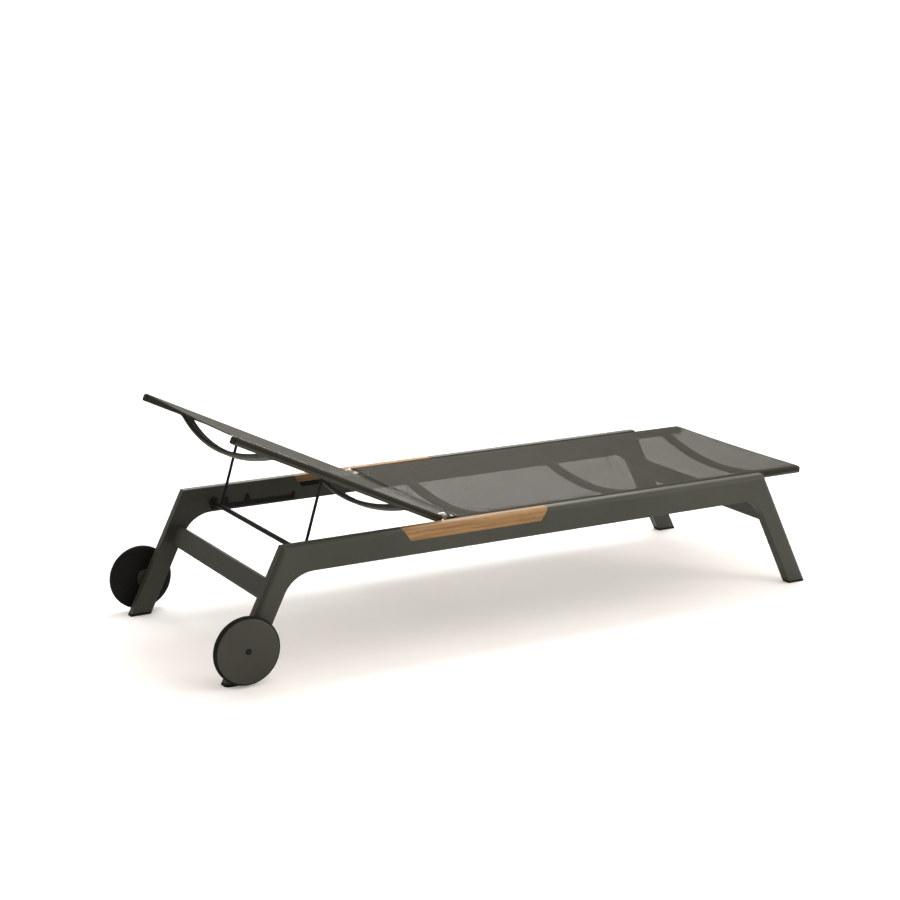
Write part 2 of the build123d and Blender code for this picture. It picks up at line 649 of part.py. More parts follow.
def make_wheels():
    """Each wheel turns on a stud that stands on a bracket outside the head leg."""
    bracket_x = HALF_WIDTH + BRACKET_THICK
    cover_x = WHEEL_OUTER - COVER_THICK
    rim_low = WHEEL_INNER + PLATE_THICK
    outline = RectangleRounded(WHEEL_PLATE_LONG, WHEEL_PLATE_HIGH, WHEEL_PLATE_ROUND)
    bracket = plate(Pos(WHEEL_PLATE_Y, WHEEL_Z) * outline, HALF_WIDTH, bracket_x)
    bolts = [rod_x(y, z, SCREW_R, HALF_WIDTH - SCREW_BITE, bracket_x) for y, z in WHEEL_BOLTS]
    heads = [rod_x(y, z, SCREW_HEAD_R, bracket_x, bracket_x + SCREW_HEAD_HIGH) for y, z in WHEEL_BOLTS]
    holes = [rod_x(y, z, SCREW_R + FIT_GAP, HALF_WIDTH, bracket_x) for y, z in WHEEL_BOLTS]
    save("wheel_brackets", both_sides(bracket - holes))
    save("wheel_bracket_bolts", both_sides(group([a + b for a, b in zip(bolts, heads)])))

    collar = bracket_x + STUD_COLLAR
    shoulder = cover_x - STUD_BELOW_COVER
    thread_r = AXLE_R - STUD_THREAD_LESS
    stud = rod_x(WHEEL_Y, WHEEL_Z, AXLE_R, bracket_x, shoulder)
    stud = stud + rod_x(WHEEL_Y, WHEEL_Z, BUSH_R + 1, bracket_x, collar)
    stud = stud + rod_x(WHEEL_Y, WHEEL_Z, thread_r, shoulder, WHEEL_OUTER - STUD_BELOW_FACE)
    save("axles", both_sides(stud))
    nut = plate(Pos(WHEEL_Y, WHEEL_Z) * RegularPolygon(NUT_FLATS / 2, 6, major_radius=False),
                cover_x - NUT_INTO_COVER, WHEEL_OUTER - NUT_BELOW_FACE)
    thread_hole = rod_x(WHEEL_Y, WHEEL_Z, thread_r + FIT_GAP, WHEEL_INNER, WHEEL_OUTER)
    save("axle_nuts", both_sides(nut - thread_hole))

    hub_top = cover_x - CORE_BELOW_COVER
    bush = [(WHEEL_INNER, AXLE_R + FIT_GAP), (hub_top, AXLE_R + FIT_GAP)]
    bush += [(hub_top, BUSH_R), (WHEEL_INNER, BUSH_R)]
    save_pair("wheel_bush", turned(bush, WHEEL_Y, WHEEL_Z))

    inner_rim = RIM_R - CORE_RIM_THICK
    bevel_x, bevel_r = CORE_BEVEL
    core = [(WHEEL_INNER, BUSH_R), (hub_top, BUSH_R), (hub_top, NUT_RECESS_R + 1)]
    core += [(cover_x, NUT_RECESS_R + 1), (cover_x, HUB_R), (rim_low, HUB_R), (rim_low, inner_rim)]
    core += [(cover_x, inner_rim), (cover_x, RIM_R), (rim_low, RIM_R), (rim_low, DISC_R - CORE_EDGE)]
    core += [(rim_low - CORE_EDGE, DISC_R), (WHEEL_INNER + bevel_x, DISC_R)]
    core += [(WHEEL_INNER, DISC_R - bevel_r)]
    save_pair("wheel_core", turned(core, WHEEL_Y, WHEEL_Z))

    tread = RectangleRounded(cover_x - rim_low, WHEEL_R - RIM_R + TYRE_ROUND, TYRE_ROUND)
    tread = Pos((cover_x + rim_low) / 2, (WHEEL_R + RIM_R - TYRE_ROUND) / 2) * tread
    outside_rim = Rectangle(2 * (cover_x - rim_low), WHEEL_R)
    tread = tread & Pos((cover_x + rim_low) / 2, RIM_R + WHEEL_R / 2) * outside_rim
    save_pair("tyre", Pos(0, WHEEL_Y, WHEEL_Z) * revolve(tread, axis=Axis.X))

    mid_x, mid_r = DOME_MIDDLE
    edge_x, edge_r = DOME_BEVEL
    lip_x, lip_r = DOME_LIP
    lip = (WHEEL_OUTER, NUT_RECESS_R + lip_r)
    crown = (WHEEL_OUTER - DOME_DROP, DISC_R - edge_r)
    dome = ThreePointArc(lip, (WHEEL_OUTER - mid_x, mid_r), crown)
    edge = Polyline(crown, (WHEEL_OUTER - edge_x, DISC_R), (cover_x, DISC_R),
                    (cover_x, NUT_RECESS_R), (WHEEL_OUTER - lip_x, NUT_RECESS_R), lip)
    cover = revolve(make_face([*dome.edges(), *edge.edges()]), axis=Axis.X)
    save_pair("wheel_cover", Pos(0, WHEEL_Y, WHEEL_Z) * cover)


# ---- build --------------------------------------------------------------------------------------

os.makedirs("parts", exist_ok=True)
make_side_frames()
make_seat()
make_racks()
make_hinges()
make_back()
make_stay()
make_wheels()
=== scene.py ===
# %% [markdown]
# # A reclining sun lounger, finished piece by piece
# The frame, ribs, hinges, racks and wheels come from the CAD model and keep their exact shape.
# This lesson gives every piece its finish, and makes what CAD leaves plain: the woven sling, its
# cords and stitches, the welds and the screw heads. Everything is in metres, in the CAD's place.

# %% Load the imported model
import json
import math

import bmesh
import bpy
from mathutils import Matrix, Vector


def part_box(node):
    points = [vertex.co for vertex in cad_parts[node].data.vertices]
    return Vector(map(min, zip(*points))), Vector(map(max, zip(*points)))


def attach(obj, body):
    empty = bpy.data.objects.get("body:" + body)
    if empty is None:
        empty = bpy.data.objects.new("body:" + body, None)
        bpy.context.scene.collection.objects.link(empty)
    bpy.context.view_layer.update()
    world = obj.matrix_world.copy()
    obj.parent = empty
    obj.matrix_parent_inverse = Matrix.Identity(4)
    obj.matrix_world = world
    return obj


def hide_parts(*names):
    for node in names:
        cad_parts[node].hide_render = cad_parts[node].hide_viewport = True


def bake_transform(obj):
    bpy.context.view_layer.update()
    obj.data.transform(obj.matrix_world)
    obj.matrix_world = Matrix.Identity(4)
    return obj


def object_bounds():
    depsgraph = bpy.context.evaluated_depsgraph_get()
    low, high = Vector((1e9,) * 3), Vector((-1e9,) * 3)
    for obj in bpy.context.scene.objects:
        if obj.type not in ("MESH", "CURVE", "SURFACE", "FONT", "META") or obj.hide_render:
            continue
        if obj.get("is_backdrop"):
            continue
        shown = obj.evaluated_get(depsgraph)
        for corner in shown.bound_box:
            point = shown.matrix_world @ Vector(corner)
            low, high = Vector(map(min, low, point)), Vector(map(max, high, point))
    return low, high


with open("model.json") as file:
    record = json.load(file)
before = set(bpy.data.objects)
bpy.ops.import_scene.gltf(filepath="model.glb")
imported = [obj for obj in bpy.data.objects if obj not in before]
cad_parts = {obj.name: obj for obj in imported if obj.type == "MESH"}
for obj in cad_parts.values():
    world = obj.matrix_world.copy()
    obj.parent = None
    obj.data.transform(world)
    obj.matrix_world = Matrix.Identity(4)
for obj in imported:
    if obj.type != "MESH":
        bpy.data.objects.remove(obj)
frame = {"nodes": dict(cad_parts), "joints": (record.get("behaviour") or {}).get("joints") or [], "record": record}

nodes = frame["nodes"]
scene = bpy.context.scene
cad_low, cad_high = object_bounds()
print("CAD nodes:", len(nodes), "size:", [round(v, 3) for v in cad_high - cad_low])

# %% [markdown]
# ## Camera
# A long lens from a few metres away keeps the two rails nearly parallel, as in a catalogue picture.
# The eye stands beside the wheels, a little above the backrest, and looks down the length of the
# seat. The three axes of the camera are written out, so that nothing has to be aimed by hand.

# %% Camera
EYE = Vector((5.0181, -2.9562, 1.8578))
AZIMUTH = math.radians(60.095)
ELEVATION = math.radians(13.513)
ROLL = math.radians(0.149)
LENS_MM = 80.79

toward_eye = Vector((math.sin(AZIMUTH) * math.cos(ELEVATION),
                     -math.cos(AZIMUTH) * math.cos(ELEVATION), math.sin(ELEVATION)))
level = Vector((math.cos(AZIMUTH), math.sin(AZIMUTH), 0))
above = toward_eye.cross(level)
right = level * math.cos(ROLL) + above * math.sin(ROLL)
up = above * math.cos(ROLL) - level * math.sin(ROLL)
camera = bpy.data.objects.new("camera", bpy.data.cameras.new("camera"))
scene.collection.objects.link(camera)
camera.data.lens = LENS_MM
camera.data.sensor_width = 36
camera.data.clip_end = 500
camera.matrix_world = Matrix.Translation(EYE) @ Matrix((right, up, toward_eye)).transposed().to_4x4()
scene.camera = camera
print("camera at", [round(v, 2) for v in EYE], "lens", LENS_MM)

# %% [markdown]
# ## Floor and light
# A studio floor is a wide pale sweep. It is so wide here that it fills the picture, so it has no
# horizon. A white sky lights everything, dimmer near the horizon and on the head side, so that the
# faces turned that way stay darker. Three soft panels shape the rest: one overhead for the shadow,
# one behind for the sheen on level faces, and one beside the foot end. The floor glows faintly, but
# only to the eye, which lightens the shadow as bright studio paper does.

# %% Floor
def add(tree, kind, inputs=None, **settings):
    """Adds a node, sets it up, and gives its inputs numbers, colours or another node's output."""
    made = tree.nodes.new(kind)
    for name, value in settings.items():
        setattr(made, name, value)
    for name, value in (inputs or {}).items():
        if isinstance(value, bpy.types.NodeSocket):
            tree.links.new(value, made.inputs[name])
        else:
            made.inputs[name].default_value = value
    return made


def new_object(name, mesh):
    made = bpy.data.objects.new(name, mesh)
    scene.collection.objects.link(made)
    return made


def plain_material(name):
    """A material with its Principled shader, ready to be wired."""
    material = bpy.data.materials.new(name)
    material.use_nodes = True
    return material, material.node_tree, material.node_tree.nodes["Principled BSDF"]


FLOOR_HALF = 160.0
FLOOR_GLOW = (0.20, 0.18, 0.165, 1)
floor_mesh = bpy.data.meshes.new("floor")
corners = [(-FLOOR_HALF, -FLOOR_HALF, 0), (FLOOR_HALF, -FLOOR_HALF, 0),
           (FLOOR_HALF, FLOOR_HALF, 0), (-FLOOR_HALF, FLOOR_HALF, 0)]
floor_mesh.from_pydata(corners, [], [(0, 1, 2, 3)])
floor = new_object("floor", floor_mesh)
floor_paper, tree, shader = plain_material("studio_paper")
shader.inputs["Base Color"].default_value = (0.9, 0.895, 0.89, 1)
shader.inputs["Roughness"].default_value = 0.9
shader.inputs["Specular IOR Level"].default_value = 0.1
shader.inputs["Emission Color"].default_value = FLOOR_GLOW
seen_directly = add(tree, "ShaderNodeLightPath").outputs["Is Camera Ray"]
tree.links.new(seen_directly, shader.inputs["Emission Strength"])
floor_mesh.materials.append(floor_paper)
floor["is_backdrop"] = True
print("floor", FLOOR_HALF * 2, "m wide")

# %% Light
SKY_STRENGTH = 1.2
SKY_COLOUR = (1.0, 0.955, 0.905, 1)
HEAD_SIDE = 0.32
FOOT_SIDE = 1.18

scene.view_settings.view_transform = "Standard"
sky = bpy.data.worlds.new("studio_sky")
scene.world = sky
sky.use_nodes = True
background = sky.node_tree.nodes["Background"]
direction = add(sky.node_tree, "ShaderNodeTexCoord").outputs["Generated"]
towards = add(sky.node_tree, "ShaderNodeSeparateXYZ", {"Vector": direction}).outputs
by_height = add(sky.node_tree, "ShaderNodeMapRange",
                {"Value": towards["Z"], "From Min": 0.0, "From Max": 0.8,
                 "To Min": 0.78 * SKY_STRENGTH, "To Max": 1.12 * SKY_STRENGTH})
by_side = add(sky.node_tree, "ShaderNodeMapRange",
              {"Value": towards["Y"], "From Min": -0.9, "From Max": 0.5,
               "To Min": HEAD_SIDE, "To Max": FOOT_SIDE})
brightness = add(sky.node_tree, "ShaderNodeMath",
                 {0: by_height.outputs["Result"], 1: by_side.outputs["Result"]},
                 operation="MULTIPLY")
sky.node_tree.links.new(brightness.outputs["Value"], background.inputs["Strength"])
background.inputs["Color"].default_value = SKY_COLOUR


def soft_panel(name, place, aim, size, watts, tone):
    """A square lamp at a place, turned towards a point."""
    lamp = bpy.data.lights.new(name, "AREA")
    lamp.shape = "SQUARE"
    lamp.size = size
    lamp.energy = watts
    lamp.color = tone
    made = bpy.data.objects.new(name, lamp)
    made.location = place
    made.rotation_euler = (Vector(aim) - Vector(place)).to_track_quat("-Z", "Y").to_euler()
    scene.collection.objects.link(made)


soft_panel("overhead", (-0.9, 0.3, 3.1), (0.0, 0.1, 0.2), 1.4, 70.0, (0.97, 0.98, 1.0))
soft_panel("behind", (-3.4, 1.5, 1.5), (0.0, 0.2, 0.3), 2.2, 36.0, (1.0, 0.97, 0.9))
soft_panel("foot_side", (3.4, 3.3, 1.5), (0.3, 0.8, 0.3), 1.6, 66.0, (1.0, 0.975, 0.93))
print("sky", SKY_STRENGTH, "with panels overhead, behind and beside the foot end")

# %% [markdown]
# ## Effects that several finishes share
# Powder coat, moulded plastic, rubber and steel all have a fine skin of bumps and slow changes of
# tone, only at other sizes. Painted, moulded and wooden edges also catch handling first, and painted
# and moulded edges carry a painted highlight on their rounding as well. These are kept as
# node groups with named inputs, so that one recipe serves every finish at its own scale.

# %% Group helpers
def new_group(name, inputs, outputs):
    """An empty shader group with named inputs (label, kind, value) and outputs (label, kind)."""
    made = bpy.data.node_groups.new(name, "ShaderNodeTree")
    for label, kind, value in inputs:
        made.interface.new_socket(label, in_out="INPUT", socket_type=kind).default_value = value
    for label, kind in outputs:
        made.interface.new_socket(label, in_out="OUTPUT", socket_type=kind)
    return made, made.nodes.new("NodeGroupInput").outputs, made.nodes.new("NodeGroupOutput").inputs


def place_group(tree, group, inputs):
    """Puts a group into a material with this material's own values."""
    made = tree.nodes.new("ShaderNodeGroup")
    made.node_tree = group
    for label, value in inputs.items():
        made.inputs[label].default_value = value
    return made.outputs


def math_node(tree, operation, *values):
    made = add(tree, "ShaderNodeMath", dict(enumerate(values)), operation=operation)
    return made.outputs[0]


def blend_colours(tree, factor, first, second):
    made = add(tree, "ShaderNodeMix", {0: factor, 6: first, 7: second}, data_type="RGBA")
    return made.outputs[2]


def spread(tree, value, low, high, to_low, to_high):
    """Maps a range of one value to another range."""
    made = add(tree, "ShaderNodeMapRange", {"Value": value, "From Min": low, "From Max": high,
                                            "To Min": to_low, "To Max": to_high})
    return made.outputs["Result"]


def colour(red, green, blue):
    return (red, green, blue, 1)


# %% Surface grain group
SCALE = "NodeSocketFloat"
grain_group, given, result = new_group(
    "surface_grain", [("Grains per metre", SCALE, 900.0), ("Clouds per metre", SCALE, 5.0)],
    [("Height", SCALE), ("Clouds", SCALE), ("Speckle", SCALE)])
place = add(grain_group, "ShaderNodeTexCoord").outputs["Object"]
fine = add(grain_group, "ShaderNodeTexNoise",
           {"Vector": place, "Scale": given["Grains per metre"], "Detail": 2.0, "Roughness": 0.6})
slow = add(grain_group, "ShaderNodeTexNoise",
           {"Vector": place, "Scale": given["Clouds per metre"], "Detail": 4.0})
finer = math_node(grain_group, "MULTIPLY", given["Grains per metre"], 2.3)
cells = add(grain_group, "ShaderNodeTexVoronoi", {"Vector": place, "Scale": finer})
pits = spread(grain_group, cells.outputs["Distance"], 0.0, 0.6, 0.0, 0.35)
grain_group.links.new(math_node(grain_group, "ADD", fine.outputs["Fac"], pits), result["Height"])
grain_group.links.new(spread(grain_group, slow.outputs["Fac"], 0.3, 0.7, 0.0, 1.0), result["Clouds"])
grain_group.links.new(spread(grain_group, cells.outputs["Distance"], 0.1, 0.7, 1.0, 0.0),
                      result["Speckle"])
print("group", grain_group.name, len(grain_group.nodes), "nodes")

# %% Edge group: mask for wear and for painted edge highlights
edge_group, given, result = new_group(
    "edge_mask", [("Edge width", SCALE, 0.0015), ("Patches per metre", SCALE, 24.0)],
    [("Mask", SCALE)])
# Finds rounded edges. The finishes use this mask for wear and for a painted highlight on the rounding.
rounded = add(edge_group, "ShaderNodeBevel", {"Radius": given["Edge width"]}, samples=4)
flat_normal = add(edge_group, "ShaderNodeNewGeometry").outputs["Normal"]
turn = add(edge_group, "ShaderNodeVectorMath",
           {0: rounded.outputs["Normal"], 1: flat_normal}, operation="DOT_PRODUCT")
edge = spread(edge_group, turn.outputs["Value"], 0.86, 0.995, 1.0, 0.0)
place = add(edge_group, "ShaderNodeTexCoord").outputs["Object"]
patches = add(edge_group, "ShaderNodeTexNoise",
              {"Vector": place, "Scale": given["Patches per metre"], "Detail": 5.0})
patchy = spread(edge_group, patches.outputs["Fac"], 0.38, 0.62, 0.25, 1.0)
edge_group.links.new(math_node(edge_group, "MULTIPLY", edge, patchy), result["Mask"])
print("group", edge_group.name, len(edge_group.nodes), "nodes")

# %% [markdown]
# ## Powder coat
# The frame is aluminium with a matt powder coat: a dry grey-olive film with a faint orange-peel
# skin. Flat colour would look like plastic sheet, so the tone drifts slowly along each profile,
# the skin breaks up the gloss, and the edges are a shade lighter: partly wear where hands and
# covers rub, partly a painted highlight on the rounded edges.
# The stay, the racks and the screws have a film like it on steel, nearly black.

# %% Powder coat materials
def grained_finish(name, tone, light_tone, edge_tone, rough, grains, depth, clouds=5.0, edge=0.0015,
                   sheen=0.25):
    """A finish whose skin, tone and gloss all vary, with edges that shift towards edge_tone as wear and a painted
    highlight.
    """
    material, tree, shader = plain_material(name)
    skin = place_group(tree, grain_group, {"Grains per metre": grains, "Clouds per metre": clouds})
    edge_amount = place_group(tree, edge_group, {"Edge width": edge})
    body = blend_colours(tree, skin["Clouds"], colour(*tone), colour(*light_tone))
    flecked = blend_colours(tree, math_node(tree, "MULTIPLY", skin["Speckle"], 0.16), body,
                            colour(*edge_tone))
    # Rounded edges shift towards edge_tone. This is partly wear and partly a painted highlight where the rounding
    # would catch light.
    worn_and_highlit = math_node(tree, "MULTIPLY", edge_amount["Mask"], 0.45)
    tree.links.new(blend_colours(tree, worn_and_highlit, flecked, colour(*edge_tone)), shader.inputs["Base Color"])
    gloss = spread(tree, skin["Clouds"], 0.0, 1.0, rough - 0.04, rough + 0.05)
    gloss = math_node(tree, "ADD", gloss, math_node(tree, "MULTIPLY", skin["Speckle"], 0.06))
    tree.links.new(gloss, shader.inputs["Roughness"])
    shader.inputs["Specular IOR Level"].default_value = sheen
    bump = add(tree, "ShaderNodeBump", {"Height": skin["Height"], "Strength": 0.35,
                                        "Distance": depth})
    tree.links.new(bump.outputs["Normal"], shader.inputs["Normal"])
    return material


frame_paint = grained_finish("frame_powder_coat", (0.028, 0.0285, 0.0195), (0.037, 0.0375, 0.0265),
                             (0.095, 0.096, 0.076), rough=0.46, grains=850.0, depth=0.00035)
stay_paint = grained_finish("stay_powder_coat", (0.006, 0.0061, 0.005), (0.010, 0.0101, 0.0085),
                            (0.04, 0.04, 0.034), rough=0.55, grains=950.0, depth=0.0003,
                            sheen=0.14)
print("powder coats:", frame_paint.name, stay_paint.name)

# %% [markdown]
# ## Moulded plastic and rubber
# Glides, plugs, bushes and the strips under the wood are black nylon from a sparked mould, with a
# finer and deeper skin than paint. The wheel discs are a satin warm grey plastic. The tyres are a
# soft black rubber with fine running grooves, which a wave across the tread gives.

# %% Plastic and rubber materials
black_plastic = grained_finish("black_nylon", (0.003, 0.003, 0.0028), (0.006, 0.006, 0.0056),
                               (0.02, 0.02, 0.019), rough=0.58, grains=1500.0, depth=0.0004,
                               clouds=14.0, edge=0.0008, sheen=0.14)
wheel_plastic = grained_finish("wheel_disc_plastic", (0.028, 0.028, 0.020), (0.037, 0.037, 0.027),
                               (0.09, 0.09, 0.072), rough=0.38, grains=1250.0, depth=0.0002,
                               clouds=9.0, edge=0.0012)
TREAD_GROOVES_PER_METRE = 420.0
tyre_rubber = grained_finish("tyre_rubber", (0.0045, 0.0045, 0.0043), (0.008, 0.008, 0.0077),
                             (0.018, 0.0175, 0.017), rough=0.66, grains=1800.0, depth=0.0003,
                             clouds=22.0, sheen=0.12)
tree = tyre_rubber.node_tree
across = add(tree, "ShaderNodeSeparateXYZ",
             {"Vector": add(tree, "ShaderNodeTexCoord").outputs["Object"]}).outputs["X"]
phase = math_node(tree, "MULTIPLY", across, TREAD_GROOVES_PER_METRE * 2 * math.pi)
ripple = math_node(tree, "MULTIPLY", math_node(tree, "SINE", phase), 0.5)
skin_bump = tree.nodes["Bump"]
skin_height = skin_bump.inputs["Height"].links[0].from_socket
tree.links.new(math_node(tree, "ADD", ripple, skin_height), skin_bump.inputs["Height"])
print("moulded finishes:", black_plastic.name, wheel_plastic.name, tyre_rubber.name)

# %% [markdown]
# ## Stainless steel
# The hinge plates, their pins and bolts are stainless steel, brushed along their length and then
# tumbled. Long thin noise gives the brush lines, which change both the gloss and the surface.

# %% Stainless material
stainless, tree, shader = plain_material("brushed_stainless")
place = add(tree, "ShaderNodeTexCoord").outputs["Object"]
stretched = add(tree, "ShaderNodeMapping", {"Vector": place, "Scale": (900.0, 60.0, 900.0)})
lines = add(tree, "ShaderNodeTexNoise",
            {"Vector": stretched.outputs["Vector"], "Scale": 1.0, "Detail": 3.0}).outputs["Fac"]
skin = place_group(tree, grain_group, {"Grains per metre": 2200.0, "Clouds per metre": 60.0})
tarnish = math_node(tree, "MULTIPLY", skin["Clouds"], lines)
tree.links.new(blend_colours(tree, tarnish, colour(0.66, 0.65, 0.63), colour(0.5, 0.48, 0.44)),
               shader.inputs["Base Color"])
shader.inputs["Metallic"].default_value = 1.0
tree.links.new(spread(tree, lines, 0.3, 0.7, 0.2, 0.38), shader.inputs["Roughness"])
bump = add(tree, "ShaderNodeBump", {"Height": lines, "Strength": 0.25, "Distance": 0.0001})
tree.links.new(bump.outputs["Normal"], shader.inputs["Normal"])
print("metal:", stainless.name)

# %% [markdown]
# ## Teak
# The inserts are oiled teak, sawn so that the grain runs along the rail. Teak shows straight bands
# of honey and brown, with short dark pores. Stretching the coordinates along the rail turns round
# noise into grain: a coarse pattern for the bands, and a fine one for pores and fibres. Sawn ends
# and edges are paler, because they dry out first.

# %% Teak material
teak, tree, shader = plain_material("oiled_teak")
place = add(tree, "ShaderNodeTexCoord").outputs["Object"]
wander = add(tree, "ShaderNodeTexNoise", {"Vector": place, "Scale": 7.0, "Detail": 2.0})
push = add(tree, "ShaderNodeVectorMath", {0: wander.outputs["Color"], 3: 0.012}, operation="SCALE")
bent = add(tree, "ShaderNodeVectorMath", {0: place, 1: push.outputs["Vector"]}, operation="ADD")
band_space = add(tree, "ShaderNodeMapping",
                 {"Vector": bent.outputs["Vector"], "Scale": (95.0, 3.2, 120.0)})
bands = add(tree, "ShaderNodeTexNoise",
            {"Vector": band_space.outputs["Vector"], "Scale": 1.0, "Detail": 5.0, "Roughness": 0.55})
pore_space = add(tree, "ShaderNodeMapping",
                 {"Vector": bent.outputs["Vector"], "Scale": (1100.0, 36.0, 1100.0)})
pores = add(tree, "ShaderNodeTexNoise",
            {"Vector": pore_space.outputs["Vector"], "Scale": 1.0, "Detail": 2.0})
tones = add(tree, "ShaderNodeValToRGB", {"Fac": bands.outputs["Fac"]})
stops = tones.color_ramp.elements
stops[0].position = 0.30
stops[0].color = colour(0.13, 0.058, 0.017)
stops[1].position = 0.70
stops[1].color = colour(0.295, 0.175, 0.066)
for position, tone in ((0.42, (0.195, 0.099, 0.033)), (0.54, (0.248, 0.138, 0.050))):
    stops.new(position).color = colour(*tone)
dark_pores = spread(tree, pores.outputs["Fac"], 0.56, 0.72, 0.0, 0.55)
pored = blend_colours(tree, dark_pores, tones.outputs["Color"], colour(0.085, 0.036, 0.013))
edge_amount = place_group(tree, edge_group, {"Edge width": 0.0025, "Patches per metre": 30.0})
dry_edge = math_node(tree, "MULTIPLY", edge_amount["Mask"], 0.5)
tree.links.new(blend_colours(tree, dry_edge, pored, colour(0.36, 0.25, 0.12)),
               shader.inputs["Base Color"])
tree.links.new(spread(tree, pores.outputs["Fac"], 0.3, 0.75, 0.42, 0.66), shader.inputs["Roughness"])
shader.inputs["Specular IOR Level"].default_value = 0.3
relief = math_node(tree, "SUBTRACT", math_node(tree, "MULTIPLY", bands.outputs["Fac"], 0.5),
                   dark_pores)
softened = add(tree, "ShaderNodeBevel", {"Radius": 0.0012}, samples=4)
bump = add(tree, "ShaderNodeBump", {"Height": relief, "Strength": 0.4, "Distance": 0.0004,
                                    "Normal": softened.outputs["Normal"]})
tree.links.new(bump.outputs["Normal"], shader.inputs["Normal"])
print("wood:", teak.name)

# %% [markdown]
# ## Woven mesh
# The sling is cloth woven from polyester yarns with a vinyl skin: open squares between warp and
# weft let water and light through. The sheet carries its own map in metres, so the weave follows
# the cloth over the tubes. The group draws both sets of yarns: where neither lies there is a hole,
# each yarn is round and dips under the next, and each has a slightly different tone. The sheet has
# a front and a back layer, and only the one that light meets first may stop it: otherwise the two
# sets of holes would cross each other and make false bands.

# %% Weave group
weave_group, given, result = new_group(
    "weave", [("Yarn pitch", SCALE, 0.0016), ("Yarn share", SCALE, 0.6)],
    [("Cover", SCALE), ("Height", SCALE), ("Yarn tone", SCALE)])
cloth_map = add(weave_group, "ShaderNodeUVMap", uv_map="cloth").outputs["UV"]
cloth_axes = add(weave_group, "ShaderNodeSeparateXYZ", {"Vector": cloth_map}).outputs


def yarn_set(along_axis, other_axis):
    """One set of parallel yarns: distance from the yarn's middle, its tone and its rise."""
    turns = math_node(weave_group, "DIVIDE", cloth_axes[along_axis], given["Yarn pitch"])
    number = math_node(weave_group, "FLOOR", turns)
    middle = math_node(weave_group, "SUBTRACT", math_node(weave_group, "FRACT", turns), 0.5)
    aside = math_node(weave_group, "MULTIPLY", math_node(weave_group, "ABSOLUTE", middle), 2.0)
    tone = add(weave_group, "ShaderNodeTexWhiteNoise", {"W": number},
               noise_dimensions="1D").outputs["Value"]
    crossing = math_node(weave_group, "DIVIDE", cloth_axes[other_axis], given["Yarn pitch"])
    wave = math_node(weave_group, "MULTIPLY", math_node(weave_group, "ADD", crossing, number), math.pi)
    rise = spread(weave_group, math_node(weave_group, "SINE", wave), -1.0, 1.0, 0.25, 1.0)
    return aside, tone, rise


warp_aside, warp_tone, warp_rise = yarn_set("X", "Y")
weft_aside, weft_tone, weft_rise = yarn_set("Y", "X")
heights = []
covers = []
for aside, rise in ((warp_aside, warp_rise), (weft_aside, weft_rise)):
    inside = math_node(weave_group, "SUBTRACT", given["Yarn share"], aside)
    cover = math_node(weave_group, "GREATER_THAN", inside, 0.0)
    bulge = math_node(weave_group, "SQRT", math_node(weave_group, "MAXIMUM", inside, 0.0))
    heights.append(math_node(weave_group, "MULTIPLY", bulge, rise))
    covers.append(cover)
warp_on_top = math_node(weave_group, "GREATER_THAN", *heights)
tone = add(weave_group, "ShaderNodeMix", {0: warp_on_top, 2: weft_tone, 3: warp_tone}).outputs[0]
weave_group.links.new(math_node(weave_group, "MAXIMUM", *covers), result["Cover"])
weave_group.links.new(math_node(weave_group, "MAXIMUM", *heights), result["Height"])
weave_group.links.new(tone, result["Yarn tone"])
print("group", weave_group.name, len(weave_group.nodes), "nodes")

# %% Cloth materials
def woven_finish(name, dark_yarn, light_yarn, pitch, share, open_weave):
    """A woven finish: the mesh itself, or a closed tape of the same yarn."""
    material, tree, shader = plain_material(name)
    weave = place_group(tree, weave_group, {"Yarn pitch": pitch, "Yarn share": share})
    skin = place_group(tree, grain_group, {"Grains per metre": 2600.0, "Clouds per metre": 7.0})
    tone = math_node(tree, "ADD", math_node(tree, "MULTIPLY", weave["Yarn tone"], 0.7),
                     math_node(tree, "MULTIPLY", skin["Clouds"], 0.3))
    tree.links.new(blend_colours(tree, tone, colour(*dark_yarn), colour(*light_yarn)),
                   shader.inputs["Base Color"])
    tree.links.new(spread(tree, weave["Height"], 0.0, 0.8, 0.8, 0.55), shader.inputs["Roughness"])
    shader.inputs["Specular IOR Level"].default_value = 0.06
    bump = add(tree, "ShaderNodeBump", {"Height": weave["Height"], "Strength": 0.5,
                                        "Distance": 0.0004})
    tree.links.new(bump.outputs["Normal"], shader.inputs["Normal"])
    if open_weave:
        inside = add(tree, "ShaderNodeNewGeometry").outputs["Backfacing"]
        outside = math_node(tree, "SUBTRACT", 1.0, inside)
        tree.links.new(math_node(tree, "MULTIPLY", weave["Cover"], outside), shader.inputs["Alpha"])
    return material


mesh_cloth = woven_finish("woven_mesh", (0.021, 0.020, 0.0135), (0.034, 0.0322, 0.0225),
                          pitch=0.0016, share=0.75, open_weave=True)
edge_tape = woven_finish("edge_tape", (0.018, 0.018, 0.014), (0.030, 0.030, 0.024),
                         pitch=0.0008, share=1.0, open_weave=False)
thread = grained_finish("polyester_thread", (0.05, 0.049, 0.041), (0.075, 0.073, 0.062),
                        (0.12, 0.118, 0.1), rough=0.55, grains=3000.0, depth=0.0002, clouds=40.0)
print("cloths:", mesh_cloth.name, edge_tape.name, thread.name)

# %% [markdown]
# ## Finishes on the CAD pieces
# Each CAD piece already names a finish in the record. Putting one material on all pieces of that
# finish keeps them alike, so the mitre between a leg and a rail doesn't show as a colour step.

# %% Assign finishes
FINISHES = {"frame_paint": frame_paint, "stay_paint": stay_paint, "teak": teak,
            "black_plastic": black_plastic, "wheel_plastic": wheel_plastic, "tyre": tyre_rubber,
            "stainless": stainless, "mesh": mesh_cloth}
slot_of = {row["node"]: row["material_slot"] for row in frame["record"]["subparts"]}
for name, node in nodes.items():
    node.data.materials.clear()
    node.data.materials.append(FINISHES[slot_of[name]])
print("finished CAD pieces:", len(nodes))

